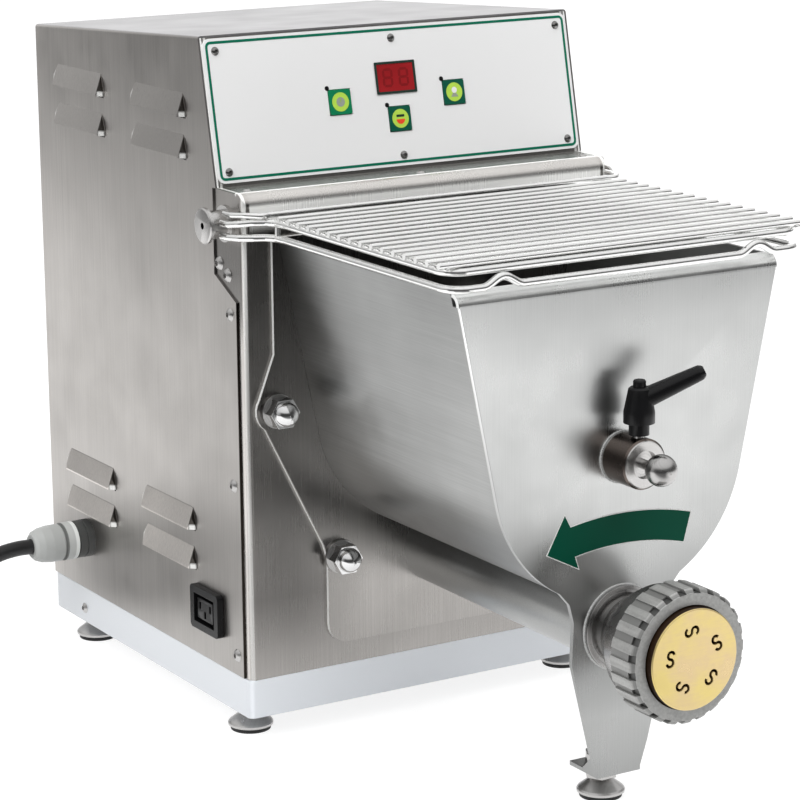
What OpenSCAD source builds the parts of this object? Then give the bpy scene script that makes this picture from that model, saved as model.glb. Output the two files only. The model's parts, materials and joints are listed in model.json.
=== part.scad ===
// Electric pasta maker: a steel drive cabinet on a white tray, a mixing trough bolted to
// its front, an extrusion barrel with a screwed die, and a hinged wire lid.
// Origin: on the floor under the middle of the machine. X to the right, Y to the back.
// Inside the modules X is from the middle, Y from the cabinet's front wall (forward is
// negative) and Z from the underside of the tray; module machine() puts that on the floor.

/* [Cabinet] */
// Width across the side panels
cab_w = 262; // [240:1:300]
// Depth from the front wall to the back
cab_d = 278; // [262:1:320]
// Height of the white tray under the cabinet
tray_h = 24.3; // [20:0.1:32]
// Wall of the tray
tray_t = 2; // [1.5:0.1:3]
// Corner radius of the tray
tray_corner_r = 4; // [1:0.5:8]
// Height of the ledge over the front wall
ledge_z = 321.8; // [315:0.1:340]
// Depth of the ledge in front of the control panel
ledge_d = 30; // [28:0.5:36]
// Length of the control panel up its slope
panel_len = 89.8; // [86:0.1:100]
// Backward lean of the control panel, degrees
panel_tilt = 11.9; // [8:0.1:15]
// Fall of the roof from front to back
roof_fall = 13; // [5:1:20]
// Sheet metal thickness
sheet_t = 1.2; // [1:0.1:2]
// Bend radius of the front wall's upright corners
wall_bend_r = 4; // [3:0.5:8]
// Bend radius between front wall and ledge
ledge_bend_r = 8; // [4:0.5:10]
// Depth of the front wall's side returns
return_d = 44; // [42:1:50]
// Bend radius along the roof's two long edges
roof_bend_r = 2; // [1.5:0.5:3]
// Setback of the cover's front edge from the front wall
cover_setback = 7; // [4:0.5:8]
// Depth of the hinge notch in the cover
notch_d = 34; // [32:0.5:40]
// Height where the notch's upright edge ends
notch_knee_z = 270; // [266:0.5:274]
// Height where the notch meets the cover's front edge
notch_low_z = 256.5; // [250:0.5:262]

/* [Louvres] */
// Length of one louvre
louvre_len = 72; // [60:1:76]
// Height of one louvre
louvre_h = 14; // [10:0.5:15]
// Stand-out of a louvre from the side panel
louvre_proud = 4.5; // [3:0.5:5.5]
// Distance from the front wall to the first louvre column
louvre_front = 65; // [60:1:68]
// Distance between the two louvre columns
louvre_step = 112; // [100:1:112]
// Height of the top row of the upper pair
louvre_high_z = 367; // [360:0.5:372]
// Height of the top row of the lower pair
louvre_low_z = 111; // [108:0.5:140]
// Distance between the two rows of a pair
louvre_row_gap = 25; // [22:0.5:28]

/* [Trough] */
// Height of the kneader axis over the tray's underside
kneader_z = 190; // [188:0.5:194]
// Distance from the kneader axis down to the auger axis
shaft_gap = 99.5; // [98:0.5:101]
// Outer radius of the trough's round bottom
bowl_r = 84; // [82:0.5:85]
// Outward lean of the trough's sides, degrees
bowl_lean = 11.8; // [8:0.1:13]
// Wall of the trough
trough_t = 2; // [1.5:0.1:2.5]
// Height of the trough's rim
rim_z = 293; // [288:0.5:294]
// Distance from the front wall to the face of the front plate
trough_reach = 200; // [190:1:210]
// Thickness of the rear flange
flange_t = 3; // [2:0.5:4]
// Thickness of the front plate
plate_t = 3; // [2:0.5:4]
// Radius of the rolled top edge of the front plate
lip_r = 8; // [6:0.5:10]
// Height of the bolt pair beside the kneader
upper_bolt_z = 190.9; // [188:0.1:195]
// Half the distance between those bolts
upper_bolt_x = 110.5; // [109:0.5:112]
// Height of the bolt pair beside the auger
lower_bolt_z = 94.5; // [90:0.5:98]
// Half the distance between those bolts
lower_bolt_x = 68.7; // [66:0.1:72]

/* [Extruder] */
// Outer radius of the barrel under the trough
barrel_r = 22.6; // [22:0.1:24]
// Bore radius of the barrel
bore_r = 17.5; // [16.5:0.1:18]
// Running gap between the auger's flight and the bore
auger_play = 0.6; // [0.4:0.1:1]
// Radius of the auger's core
core_r = 8; // [6:0.5:9]
// Pitch of the auger's flight
auger_pitch = 30; // [24:1:36]
// Outer radius of the threaded head
head_r = 33.5; // [32:0.1:34]
// Distance from the front plate to the head's front face
head_len = 58; // [56:0.5:60]
// Radius of the brass die's face
die_r = 29; // [27:0.1:30]
// Stand-out of the die's face from the ring nut
die_proud = 4.8; // [2:0.1:6]
// Outer radius of the ring nut over its teeth
nut_r = 38.7; // [37.5:0.1:42]
// Length of the ring nut
nut_len = 21.5; // [20:0.5:26]
// Number of teeth round the ring nut
nut_teeth = 24; // [12:1:30]
// Depth of the gaps between those teeth
tooth_depth = 1.2; // [0.8:0.1:1.6]
// Extra depth of the pocket at the front end of each gap
pocket_depth = 1.3; // [0.5:0.1:1.4]

/* [Boss and clamp] */
// Radius of the front bearing boss
boss_r = 14.5; // [13:0.5:17]
// Length of the boss
boss_len = 22.5; // [18:0.5:24]
// Radius of the sliding pin that carries the kneader's front end
pin_r = 6; // [5:0.1:6.5]
// Radius of the chrome ball on the pin
ball_r = 9; // [7:0.5:11]
// Distance from the front plate to the ball's centre
ball_reach = 37; // [34:0.5:42]
// Length of the clamping lever from its axis to its tip
lever_len = 39.5; // [30:0.1:45]
// Rise of the lever's arm, degrees
lever_rise = 25; // [15:1:30]
// Rest angle of the lever's arm towards the front, degrees
lever_turn = 30; // [10:1:60]

/* [Lid] */
// Number of cross wires
grid_wires = 16; // [10:1:16]
// Distance between cross wires
grid_pitch = 11.6; // [11:0.1:12]
// Diameter of the cross wires
grid_d = 3.5; // [3:0.1:4]
// Diameter of the two frame wires
frame_d = 4.5; // [4:0.1:4.6]
// Half the width of the wire frame
frame_half = 117; // [115:0.5:118]
// Overhang of the cross wires past the frame wires
grid_overhang = 5.5; // [3:0.5:7]
// Height of the hinge axis
hinge_z = 302; // [301:0.5:303]
// Distance from the front wall back to the hinge axis
hinge_y = 21; // [20:0.5:22]
// Radius of the hinge hubs
hub_r = 8.5; // [8:0.1:9]

/* [Feet] */
// Height of the feet below the tray
foot_h = 16; // [14:0.5:20]
// Largest radius of a foot
foot_r = 14; // [12:0.5:16]
// Distance from the tray's sides in to the cabinet's feet
foot_inset = 15; // [15:0.5:26]
// Distance from the front wall back to the front feet
foot_front_y = 28; // [24:1:40]
// Distance from the tray's back in to the rear feet
foot_rear_inset = 33; // [33:1:78]
// Distance from the front plate back to the leg's foot
leg_foot_inset = 18; // [16:0.5:20]

/* [Controls] */
// Side of a square push button
button_w = 15.2; // [12:0.1:16]
// Travel of a push button
button_travel = 1; // [0.5:0.1:1.5]
// Width of the display window
display_w = 28; // [20:0.5:32]
// Height of the display window
display_h = 19; // [14:0.5:22]
// Margin between the label plate and the panel's edges
label_margin = 2; // [1:0.1:4]

/* [Power] */
// Radius of the mains lead
cord_r = 5; // [4:0.1:5.2]
// Height of the cable gland
gland_z = 61; // [58:0.5:64]
// Distance from the front wall back to the gland
gland_y = 224; // [210:1:230]
// Stand-out of the gland from the side panel
gland_len = 41; // [36:0.5:48]
// Width of the accessory outlet's face
outlet_w = 36.2; // [34:0.1:42]
// Height of the accessory outlet's face
outlet_h = 27.6; // [25:0.1:32]
// Distance from the front wall back to the outlet
outlet_y = 50; // [46:0.5:60]
// Height of the outlet
outlet_z = 56.5; // [54:0.5:64]

/* [Drive] */
// Radius of both drive shafts
drive_r = 8; // [6:0.5:8.5]
// Teeth of the gear on the kneader's shaft
kneader_teeth = 36; // [30:2:40]
// Teeth of the gear on the auger's shaft
auger_teeth = 44; // [40:4:52]
// Face width of the gears
gear_w = 12; // [8:0.5:14]
// Distance from the front wall back to the gears
gear_y = 30; // [24:0.5:34]
// Distance from the front wall back to the bearing plate
bearing_plate_y = 52; // [50:0.5:60]
// Radius of the motor
motor_r = 46; // [36:1:48]

/* [Hidden] */
$fn = 64;
eps = 0.02;

// Clearances
part_gap = 0.3;
running_gap = 0.06;
hole_gap = 0.3;
nut_play = 0.05;

// Cabinet
auger_z = kneader_z - shaft_gap;
die_face = trough_reach + head_len + 12;
front_y = -(cab_d - die_face) / 2;
panel_top_y = ledge_d + panel_len * sin(panel_tilt);
panel_top_z = ledge_z + panel_len * cos(panel_tilt);
roof_back_z = panel_top_z - roof_fall;
roof_slope = atan(roof_fall / (cab_d - panel_top_y));
wall_half = cab_w / 2 - sheet_t;
tray_floor_t = tray_t;
foot_x = cab_w / 2 - foot_inset;
foot_rear_y = cab_d - foot_rear_inset;
louvre_end = 4.5;
// Heights of the cover's side screws and of the rear panel's lower screws
side_screw_zs = [36.8, 143.5, 248.3];
rear_screw_zs = [60, 220];
tray_screw_back = 46;

// Trough
plate_back = trough_reach - plate_t;
plate_top = rim_z + 1;
flange_half = bowl_half(rim_z) + 4.5;
bolt_ear_r = 13.5;
stud_r = 5;
washer_t = 2;
washer_r = 10.5;
acorn_af = 17;
acorn_dome_r = 7.5;
acorn_len = 17;
stud_back = 6;
stud_out = 12;
stud_head_r = 11;
stud_head_t = 4.5;
leg_foot_z = 4.7;
leg_half = 15;
leg_plate_len = 28;
leg_plate_t = 2.7;
flange_low = 39;
flange_corner_r = 13;
// Half-widths and heights down the leg below the bowl
leg_outline = [[42, 117], [35, 109], [32, 98], [33, 73], [28, 52], [20, 20], [leg_half, leg_foot_z]];

// Extruder, all distances forward from the front wall
neck_r = bore_r + 3;
collar_r = barrel_r + 2.2;
cone_start = trough_reach + 10;
cone_end = trough_reach + 32;
head_face = trough_reach + head_len;
chamber_start = head_face - 22;
die_flange_r = head_r - 0.3;
die_flange_t = 4.7;
die_back = head_face + part_gap;
nut_front = die_face - die_proud;
nut_back = nut_front - nut_len;
nut_bore_r = head_r + 0.35;
lip_hole_r = die_r + 0.8;
nut_land = die_back + die_flange_t + part_gap;
slot_ring_r = 16.6;
slot_count = 5;
first_slot_a = 25.5;
slot_w = 1.5;
slot_curl_r = 2.1;
pocket_len = 5.5;
nut_chamfer = 2.4;

// Feet
pad_t = 2.4;
spindle_len = 24;
foot_nut_af = 17;
foot_nut_h = 6;
low_nut_h = 4;

// Shafts
shaft_start = flange_t + part_gap;
kneader_r = 9;
arm_reach = 77;
arm_stations = [34, 80, 126, 168];
arm_r = 4.5;
blade_len = 30;
pin_depth = 7.7;
auger_end = head_face - 16;
bearing_r = 17;
bearing_len = 12;
bearing_plate_t = 4;
gear_mod = 2 * shaft_gap / (kneader_teeth + auger_teeth);
gear_backlash = 0.55;
gearbox_len = 62;
gearbox_r = motor_r - 2;
motor_len = 96;
fan_cover_len = 22;
motor_rib_start = 14;
motor_rib_len = 70;
plate_half = 62;
plate_over = 40;
plate_foot = 20;
saddle_half = 40;
saddle_t = 10;
capacitor_r = 20;
capacitor_len = 75;
capacitor_wall = 15;
capacitor_y = 190;
terminal_size = [22, 56, 20];
terminal_wall = 25;
terminal_y = 170;

// Hinge and lid, heights over the tray's underside
bush_r = hub_r + 2.5;
hub_in = 5;
hub_out = 11.5;
disc_t = 2.5;
disc_r = 10.75;
hub_x = cab_w / 2 + hub_out - disc_t;
frame_top_z = hinge_z + 5;
grid_z = frame_top_z + (frame_d + grid_d) / 2 + 0.1;
frame_low_z = hinge_z - 4;
grid_back = 30;
grid_half = frame_half + grid_overhang;
// The upper frame wire runs just in front of the last cross wire, the lower one before it
frame_front = grid_back + (grid_wires - 1) * grid_pitch + 2;
low_frame_front = frame_front + 3;
frame_back = 15.5;
frame_corner_r = 12;
bump_x = 85;
bump_half = 13;
bump_h = 5.2;
wire_sides = 8;
hub_front = hinge_y - hub_r - 1;
cam_r = 12;
// Screws that hold the lid switch, depth and height
switch_screws = [[29.2, 277], [19, 271.2]];
lever_axis = trough_reach + boss_len - 6.5;
lever_stud_r = 3;
lever_base_z = kneader_z + boss_r + 1.5;
rear_recess = 2;

// Controls, places on the panel's slope
label_len = panel_len - 2 * label_margin;
label_t = 1;
display_v = 56.1;
side_button_x = 40.6;
side_button_v = 44;
mode_button_v = 30.8;
light_dx = -8.1;
light_dv = 8.8;
light_r = 1.4;
screw_us = [-121, 0, 121];
screw_vs = [8.5, 80.2];
board_gap = 12;
// Control board, centred across, with its lower edge up the slope
board_size = [140, 62, 1.6];
board_v = 14;
standoff_r = 3;
standoff_x = 64;
standoff_vs = [20, 70];

// Mains lead, points of the stretch that is not coiled, on the floor's own axes
lead_points = [[-172, 220, 77], [-184, 220, 77], [-198, 221, 74], [-212, 223, 66],
    [-225, 227, 54], [-238, 232, 40], [-251, 238, 26], [-264, 245, 14], [-278, 253, 7],
    [-293, 263, 5]];
gland_r = 12.6;
coil_at = [-262, 318];
coil_turn_r = 55;
coil_half_w = 15.2;
coil_h = 19;
tail_points = [[-307, 302, 16], [-309, 317, 19], [-306.5, 331, 23.5], [-300, 343, 28.5],
    [-290.5, 352.2, 33], [-280, 358, 36], [-270.5, 360.5, 37.5], [-262, 360.5, 37.5]];
plug_at = [-234, 360.5, 37.5];
plug_r = 18.2;
plug_body_len = 34;
plug_relief_len = 28;

module machine() {
    translate([0, front_y, foot_h]) children();
}

// Extrude a shape drawn in X and height forward from the front wall
module forward(from, length) {
    translate([0, -from, 0]) rotate([90, 0, 0]) linear_extrude(length) children();
}

// Put a revolved shape on an axis that runs forward at height z
module on_axis(z) {
    translate([0, 0, z]) rotate([90, 0, 0]) children();
}

// Extrude a shape drawn in depth and height across the machine
module across(half) {
    translate([-half, 0, 0]) rotate([90, 0, 90]) linear_extrude(2 * half) children();
}

module both_sides() {
    children();
    mirror([1, 0, 0]) children();
}

// Local X across, Y up the control panel, Z out of it
module on_panel() {
    translate([0, ledge_d, ledge_z]) rotate([90 - panel_tilt, 0, 0]) children();
}

module rounded_plate(w, h, t, r) {
    translate([-w / 2 + r, -h / 2, 0]) cube([w - 2 * r, h, t]);
    translate([-w / 2, -h / 2 + r, 0]) cube([w, h - 2 * r, t]);
    for (x = [-1, 1], y = [-1, 1])
        translate([x * (w / 2 - r), y * (h / 2 - r), 0]) cylinder(r = r, h = t);
}

module ring(r_out, r_in, h) {
    difference() {
        cylinder(r = r_out, h = h);
        translate([0, 0, -1]) cylinder(r = r_in, h = h + 2);
    }
}

module button_head(r, h) {
    ball = (r * r + h * h) / (2 * h);
    difference() {
        intersection() {
            translate([0, 0, h - ball]) sphere(ball);
            cylinder(r = r, h = h);
        }
        translate([0, 0, h / 3]) cylinder(r = r * 0.42, h = h, $fn = 6);
    }
}

module hex_nut(af, h, hole_r) {
    difference() {
        cylinder(r = af / sqrt(3), h = h, $fn = 6);
        translate([0, 0, -1]) cylinder(r = hole_r, h = h + 2);
    }
}

// Closed tube along a list of points that never run upright
function unit(v) = v / norm(v);
function along(p, i) = unit(p[min(i + 1, len(p) - 1)] - p[max(i - 1, 0)]);
function wire_ring(p, i, r, sides) =
    let (t = along(p, i), n = unit(cross(t, [0, 0, 1])), m = cross(n, t))
    [for (k = [0:sides - 1]) p[i] + r * (cos(360 * k / sides) * n + sin(360 * k / sides) * m)];

module wire(p, r, sides) {
    last = len(p) - 1;
    polyhedron(
        points = [for (i = [0:last]) each wire_ring(p, i, r, sides)],
        faces = concat(
            [[for (k = [sides - 1:-1:0]) k]],
            [[for (k = [0:sides - 1]) last * sides + k]],
            [for (i = [0:last - 1], k = [0:sides - 1])
                let (a = i * sides + k, b = i * sides + (k + 1) % sides)
                each [[a, b + sides, a + sides], [a, b, b + sides]]]));
}

function bowl_half(z, r = bowl_r) =
    r * cos(bowl_lean) + (z - kneader_z + r * sin(bowl_lean)) * tan(bowl_lean);

// Section of the trough: a round bottom with sides that lean outward to height top
module bowl_shape(r, top) {
    foot = [r * cos(bowl_lean), kneader_z - r * sin(bowl_lean)];
    translate([0, kneader_z]) circle(r, $fn = 96);
    polygon([[-foot.x, foot.y], [foot.x, foot.y], [bowl_half(top, r), top], [-bowl_half(top, r), top]]);
}

// Lean-to form of one louvre about its middle: X out of the panel, Y along it, Z up
module louvre_form(inset, low) {
    top = louvre_h / 2;
    half = louvre_len / 2 - inset;
    out = louvre_proud - inset;
    back = -sheet_t - 1;
    intersection() {
        translate([0, half, 0]) rotate([90, 0, 0]) linear_extrude(2 * half)
            polygon([[back, top], [-inset, top], [out, 1 - top], [out, low], [back, low]]);
        translate([back, 0, 0]) rotate([90, 0, 90]) linear_extrude(out - back)
            polygon([[-half, low], [half, low], [half - louvre_end, top], [louvre_end - half, top]]);
        translate([0, 0, low]) linear_extrude(top - low)
            polygon([[back, -half], [0, -half], [out, louvre_end - half], [out, half - louvre_end],
                [0, half], [back, half]]);
    }
}

// Louvres of the right side panel; the left side mirrors them
module louvres(inset, low) {
    for (y = [louvre_front, louvre_front + louvre_step], top = [louvre_high_z, louvre_low_z],
            z = [top, top - louvre_row_gap])
        translate([cab_w / 2, y + louvre_len / 2, z]) louvre_form(inset, low);
}

module cover_side_shape() {
    polygon([[cover_setback, tray_h], [cover_setback, notch_low_z], [notch_d, notch_knee_z],
        [notch_d, ledge_z], [ledge_d, ledge_z], [panel_top_y, panel_top_z],
        [cab_d, roof_back_z], [cab_d, tray_h]]);
}

// Wedge that rounds the long edge between the roof and a side panel
module roof_edge_cut() {
    translate([cab_w / 2 - roof_bend_r, panel_top_y, panel_top_z - roof_bend_r])
        rotate([-90 - roof_slope, 0, 0])
            difference() {
                translate([0, -roof_bend_r - 1, -5])
                    cube([roof_bend_r + 1, roof_bend_r + 1, cab_d]);
                translate([0, 0, -6]) cylinder(r = roof_bend_r, h = cab_d + 2);
            }
}

module outlet_opening(grow) {
    translate([-cab_w / 2 - 1, outlet_y - outlet_w / 2 + 3 - grow, outlet_z - outlet_h / 2 + 3 - grow])
        cube([sheet_t * 3 + 2, outlet_w - 6 + 2 * grow, outlet_h - 6 + 2 * grow]);
}

module cabinet_cover() {
    color([0.62, 0.61, 0.6]) machine() difference() {
        union() {
            both_sides() translate([cab_w / 2 - sheet_t, 0, 0]) rotate([90, 0, 90])
                linear_extrude(sheet_t) cover_side_shape();
            across(cab_w / 2)
                polygon([[panel_top_y, panel_top_z], [cab_d, roof_back_z],
                    [cab_d, roof_back_z - sheet_t], [panel_top_y, panel_top_z - sheet_t]]);
            both_sides() intersection() {
                louvres(0, -louvre_h / 2);
                translate([cab_w / 2 - sheet_t / 2, 0, 0]) cube([20, cab_d, panel_top_z]);
            }
        }
        both_sides() louvres(sheet_t * 1.06, -louvre_h / 2 - 1);
        both_sides() roof_edge_cut();
        outlet_opening(hole_gap);
        translate([-cab_w / 2 - 1, gland_y, gland_z]) rotate([0, 90, 0])
            cylinder(r = 8 + hole_gap, h = sheet_t + 2);
    }
}

module rear_panel() {
    color([0.58, 0.57, 0.56]) machine()
        translate([-wall_half, cab_d - rear_recess - sheet_t, tray_h])
            cube([2 * wall_half, sheet_t, roof_back_z - sheet_t - tray_h - 0.1]);
}

// Outer form of the front wall and its returns, drawn in by inset
module wall_form(inset) {
    w = wall_half - inset;
    r = wall_bend_r - inset;
    br = ledge_bend_r - inset;
    top = ledge_z - inset;
    intersection() {
        translate([0, 0, tray_h - inset]) union() {
            translate([-w, inset + r, 0]) cube([2 * w, return_d, top - tray_h + inset]);
            translate([-w + r, inset, 0]) cube([2 * w - 2 * r, return_d, top - tray_h + inset]);
            for (x = [-1, 1])
                translate([x * (w - r), inset + r, 0]) cylinder(r = r, h = top - tray_h + inset);
        }
        across(cab_w / 2 + 1) union() {
            translate([inset + br, top - br]) circle(br);
            translate([inset, 0]) square([return_d + 10, top - br]);
            translate([inset + br, 0]) square([return_d + 10, top]);
        }
    }
}

module front_wall() {
    color([0.6, 0.59, 0.58]) machine() difference() {
        wall_form(0);
        wall_form(sheet_t);
        translate([-cab_w, return_d, 0]) cube([2 * cab_w, cab_d, ledge_z * 2]);
        translate([-wall_half + sheet_t, ledge_d, ledge_z - ledge_bend_r])
            cube([2 * wall_half - 2 * sheet_t, cab_d, ledge_z]);
        for (x = [-1, 1]) {
            translate([x * wall_half, hinge_y, hinge_z]) rotate([0, 90, 0])
                cylinder(r = bush_r, h = 4 * sheet_t, center = true);
            translate([x * upper_bolt_x, 0, upper_bolt_z]) rotate([90, 0, 0])
                cylinder(r = stud_r + hole_gap, h = 4 * sheet_t, center = true);
            translate([x * lower_bolt_x, 0, lower_bolt_z]) rotate([90, 0, 0])
                cylinder(r = stud_r + hole_gap, h = 4 * sheet_t, center = true);
        }
        for (z = [kneader_z, auger_z])
            translate([0, 0, z]) rotate([90, 0, 0])
                cylinder(r = drive_r + hole_gap, h = 4 * sheet_t, center = true);
        outlet_opening(hole_gap);
    }
}

module button_places() {
    translate([-side_button_x, side_button_v, 0]) children(0);
    translate([0, mode_button_v, 0]) children(0);
    translate([side_button_x, side_button_v, 0]) children(0);
}

module panel_openings(depth) {
    w = button_w + 2 * part_gap;
    translate([0, 0, -depth]) {
        button_places() translate([-w / 2, -w / 2, 0]) cube([w, w, 2 * depth]);
        translate([-display_w / 2, display_v - display_h / 2, 0])
            cube([display_w, display_h, 2 * depth]);
        for (x = [-side_button_x, 0, side_button_x])
            translate([x + light_dx, (x == 0 ? mode_button_v : side_button_v) + light_dv, 0])
                cylinder(r = light_r, h = 2 * depth);
    }
}

module control_panel() {
    color([0.6, 0.59, 0.58]) machine() on_panel() difference() {
        translate([-wall_half, 0, -sheet_t]) cube([2 * wall_half, panel_len - sheet_t, sheet_t]);
        panel_openings(5);
    }
}

module label_plate() {
    color([0.9, 0.9, 0.9]) machine() on_panel() difference() {
        translate([0, panel_len / 2, 0])
            rounded_plate(cab_w - 2 * label_margin, label_len, label_t, 5);
        panel_openings(5);
    }
}

module display_window() {
    color([0.5, 0.1, 0.1]) machine() on_panel()
        translate([-display_w / 2, display_v - display_h / 2, -sheet_t])
            cube([display_w, display_h, sheet_t + label_t + 0.4]);
}

module status_lights() {
    color([0.6, 0.15, 0.15]) machine() on_panel()
        for (x = [-side_button_x, 0, side_button_x])
            translate([x + light_dx, (x == 0 ? mode_button_v : side_button_v) + light_dv, -sheet_t])
                cylinder(r = light_r, h = sheet_t + label_t + 0.2);
}

module push_button() {
    translate([0, 0, -sheet_t - 1.5]) rounded_plate(button_w, button_w, 1.5 + sheet_t + label_t + 0.7, 1.5);
}

module start_button() {
    color([0.05, 0.3, 0.18]) machine() on_panel()
        translate([-side_button_x, side_button_v, 0]) push_button();
}

module mode_button() {
    color([0.05, 0.3, 0.18]) machine() on_panel()
        translate([0, mode_button_v, 0]) push_button();
}

module stop_button() {
    color([0.05, 0.3, 0.18]) machine() on_panel()
        translate([side_button_x, side_button_v, 0]) push_button();
}

module panel_screws() {
    color([0.8, 0.8, 0.8]) machine() on_panel()
        for (u = screw_us, v = screw_vs)
            translate([u, v, label_t]) button_head(2.6, 1.6);
}

module cover_screws() {
    color([0.7, 0.7, 0.7]) machine() {
        both_sides() {
            for (z = side_screw_zs)
                translate([cab_w / 2, cover_setback + 8, z]) rotate([0, 90, 0]) button_head(4.1, 2.2);
            translate([cab_w / 2, cab_d - tray_screw_back, tray_h * 0.4]) rotate([0, 90, 0]) button_head(3.6, 2);
            for (p = switch_screws)
                translate([wall_half, p.x, p.y]) rotate([0, 90, 0]) button_head(4.4, 2.4);
            translate([wall_half - 10, 12, ledge_z]) button_head(2.6, 1.4);
            for (z = concat(rear_screw_zs, roof_back_z - 20))
                translate([wall_half - 12, cab_d - rear_recess, z]) rotate([-90, 0, 0]) button_head(3.6, 2);
        }
        translate([0, 12, ledge_z]) button_head(2.6, 1.4);
    }
}

module base_tray() {
    color([0.9, 0.92, 0.94]) machine() difference() {
        translate([0, cab_d / 2, 0]) rounded_plate(cab_w, cab_d, tray_h, tray_corner_r);
        translate([0, cab_d / 2, tray_floor_t])
            rounded_plate(cab_w - 2 * tray_t, cab_d - 2 * tray_t, tray_h, tray_corner_r - tray_t / 2);
        for (x = [-1, 1], y = [foot_front_y, foot_rear_y])
            translate([x * foot_x, y, -1]) cylinder(r = stud_r + hole_gap, h = tray_t + 2);
    }
}

module hopper_trough() {
    color([0.66, 0.65, 0.63]) machine() difference() {
        forward(flange_t, plate_back - flange_t) difference() {
            bowl_shape(bowl_r, rim_z);
            bowl_shape(bowl_r - trough_t, rim_z + 1);
        }
        forward(0, trough_reach + 1) translate([0, auger_z]) circle(barrel_r);
        forward(0, trough_reach + 1) translate([-bore_r, auger_z]) square([2 * bore_r, barrel_r + 8]);
        translate([-cab_w / 2, -trough_reach - 1, plate_top - lip_r])
            cube([cab_w, lip_r + 1 + part_gap, 2 * lip_r]);
    }
}

function reversed(p) = [for (i = [len(p) - 1:-1:0]) p[i]];

// Points of an arc from one angle to another
function corner(cx, cy, r, from, to, n) =
    [for (i = [0:n]) [cx + r * cos(from + (to - from) * i / n), cy + r * sin(from + (to - from) * i / n)]];

// Half-widths and heights down one side of the flange, with the ear round the upper bolt
function flange_outline(s) =
    let (p = concat(
        [[flange_half - 0.5, rim_z + 2], [flange_half - 0.5, upper_bolt_z + 34]],
        corner(upper_bolt_x, upper_bolt_z, bolt_ear_r, 35, -55, 6),
        [[lower_bolt_x + 11, lower_bolt_z + 8], [lower_bolt_x + 8, lower_bolt_z - 2]],
        corner(lower_bolt_x + 8 - flange_corner_r, flange_low + flange_corner_r, flange_corner_r, 0, -90, 6)))
    s > 0 ? p : reversed(p);

module rear_flange() {
    color([0.64, 0.63, 0.61]) machine() difference() {
        forward(0, flange_t) polygon([for (s = [1, -1], p = flange_outline(s)) [s * p.x, p.y]]);
        forward(-1, flange_t + 2) for (x = [-1, 1]) {
            translate([x * upper_bolt_x, upper_bolt_z]) circle(stud_r + hole_gap);
            translate([x * lower_bolt_x, lower_bolt_z]) circle(stud_r + hole_gap);
        }
        for (z = [kneader_z, auger_z])
            translate([0, 1, z]) rotate([90, 0, 0]) cylinder(r = drive_r + hole_gap, h = flange_t + 2);
    }
}

module front_plate() {
    lip_w = 2 * bowl_half(plate_top) - 1;
    color([0.74, 0.74, 0.74]) machine() {
        difference() {
            forward(plate_back, plate_t) {
                bowl_shape(bowl_r + 0.5, plate_top - lip_r);
                polygon([for (s = [1, -1], p = s > 0 ? leg_outline : reversed(leg_outline)) [s * p.x, p.y]]);
            }
            on_axis(kneader_z) cylinder(r = pin_r + running_gap, h = trough_reach + 1);
            on_axis(auger_z) cylinder(r = barrel_r, h = trough_reach + 1);
        }
        difference() {
            across(lip_w / 2) translate([-trough_reach + lip_r, plate_top - lip_r]) difference() {
                circle(lip_r);
                circle(lip_r - plate_t);
                translate([-lip_r * 2, -lip_r * 2]) square([lip_r * 4, lip_r * 2]);
                translate([0, -1]) square([lip_r * 2, lip_r * 2]);
            }
        }
        difference() {
            translate([-leg_half, -trough_reach, leg_foot_z - leg_plate_t])
                cube([2 * leg_half, leg_plate_len, leg_plate_t]);
            translate([0, -trough_reach + leg_foot_inset, 0]) cylinder(r = stud_r + hole_gap, h = 8);
        }
        both_sides() translate([leg_half - 2.5, 0, 0]) rotate([90, 0, 90]) linear_extrude(2.5)
            polygon([[-plate_back, leg_foot_z], [-plate_back, leg_foot_z + 12], [-plate_back + 12, leg_foot_z]]);
    }
}

module auger_barrel() {
    color([0.62, 0.61, 0.6]) machine() difference() {
        forward(flange_t, trough_reach - flange_t) translate([0, auger_z]) difference() {
            circle(barrel_r);
            circle(bore_r);
        }
        forward(flange_t - 1, plate_back - flange_t + 1)
            translate([-bore_r, auger_z]) square([2 * bore_r, barrel_r + 8]);
        forward(flange_t - 1, plate_back - flange_t + 1) bowl_shape(bowl_r - trough_t, rim_z);
    }
}

module outlet_head() {
    color([0.7, 0.7, 0.69]) machine() on_axis(auger_z) rotate_extrude($fn = 96)
        polygon([[bore_r, trough_reach], [collar_r, trough_reach], [collar_r, trough_reach + 3],
            [barrel_r, trough_reach + 3], [barrel_r, trough_reach + 1], [neck_r, trough_reach + 1],
            [neck_r, cone_start], [neck_r + 6.5, cone_start + 10], [head_r, cone_end],
            [head_r, head_face - 1], [head_r - 1, head_face], [die_r - 4, head_face],
            [bore_r, chamber_start]]);
}

module shaft_boss() {
    end = trough_reach + boss_len;
    color([0.72, 0.72, 0.71]) machine() difference() {
        on_axis(kneader_z) rotate_extrude()
            polygon([[pin_r + running_gap, trough_reach], [boss_r, trough_reach],
                [boss_r, end - 1.5], [boss_r - 1.5, end], [8, end], [8, end - 2.5],
                [pin_r + running_gap, end - 2.5]]);
        translate([0, -lever_axis, kneader_z]) cylinder(r = lever_stud_r + running_gap, h = boss_r + 1);
    }
}

module stud_places() {
    for (x = [-1, 1]) {
        translate([x * upper_bolt_x, 0, upper_bolt_z]) rotate([90, 0, 0]) children(0);
        translate([x * lower_bolt_x, 0, lower_bolt_z]) rotate([90, 0, 0]) children(0);
    }
}

module hopper_studs() {
    color([0.7, 0.7, 0.7]) machine() stud_places() union() {
        translate([0, 0, -sheet_t - stud_back])
            cylinder(r = stud_r, h = sheet_t + stud_back + flange_t + washer_t + stud_out);
        translate([0, 0, -sheet_t - stud_head_t]) cylinder(r = stud_head_r, h = stud_head_t);
    }
}

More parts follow.
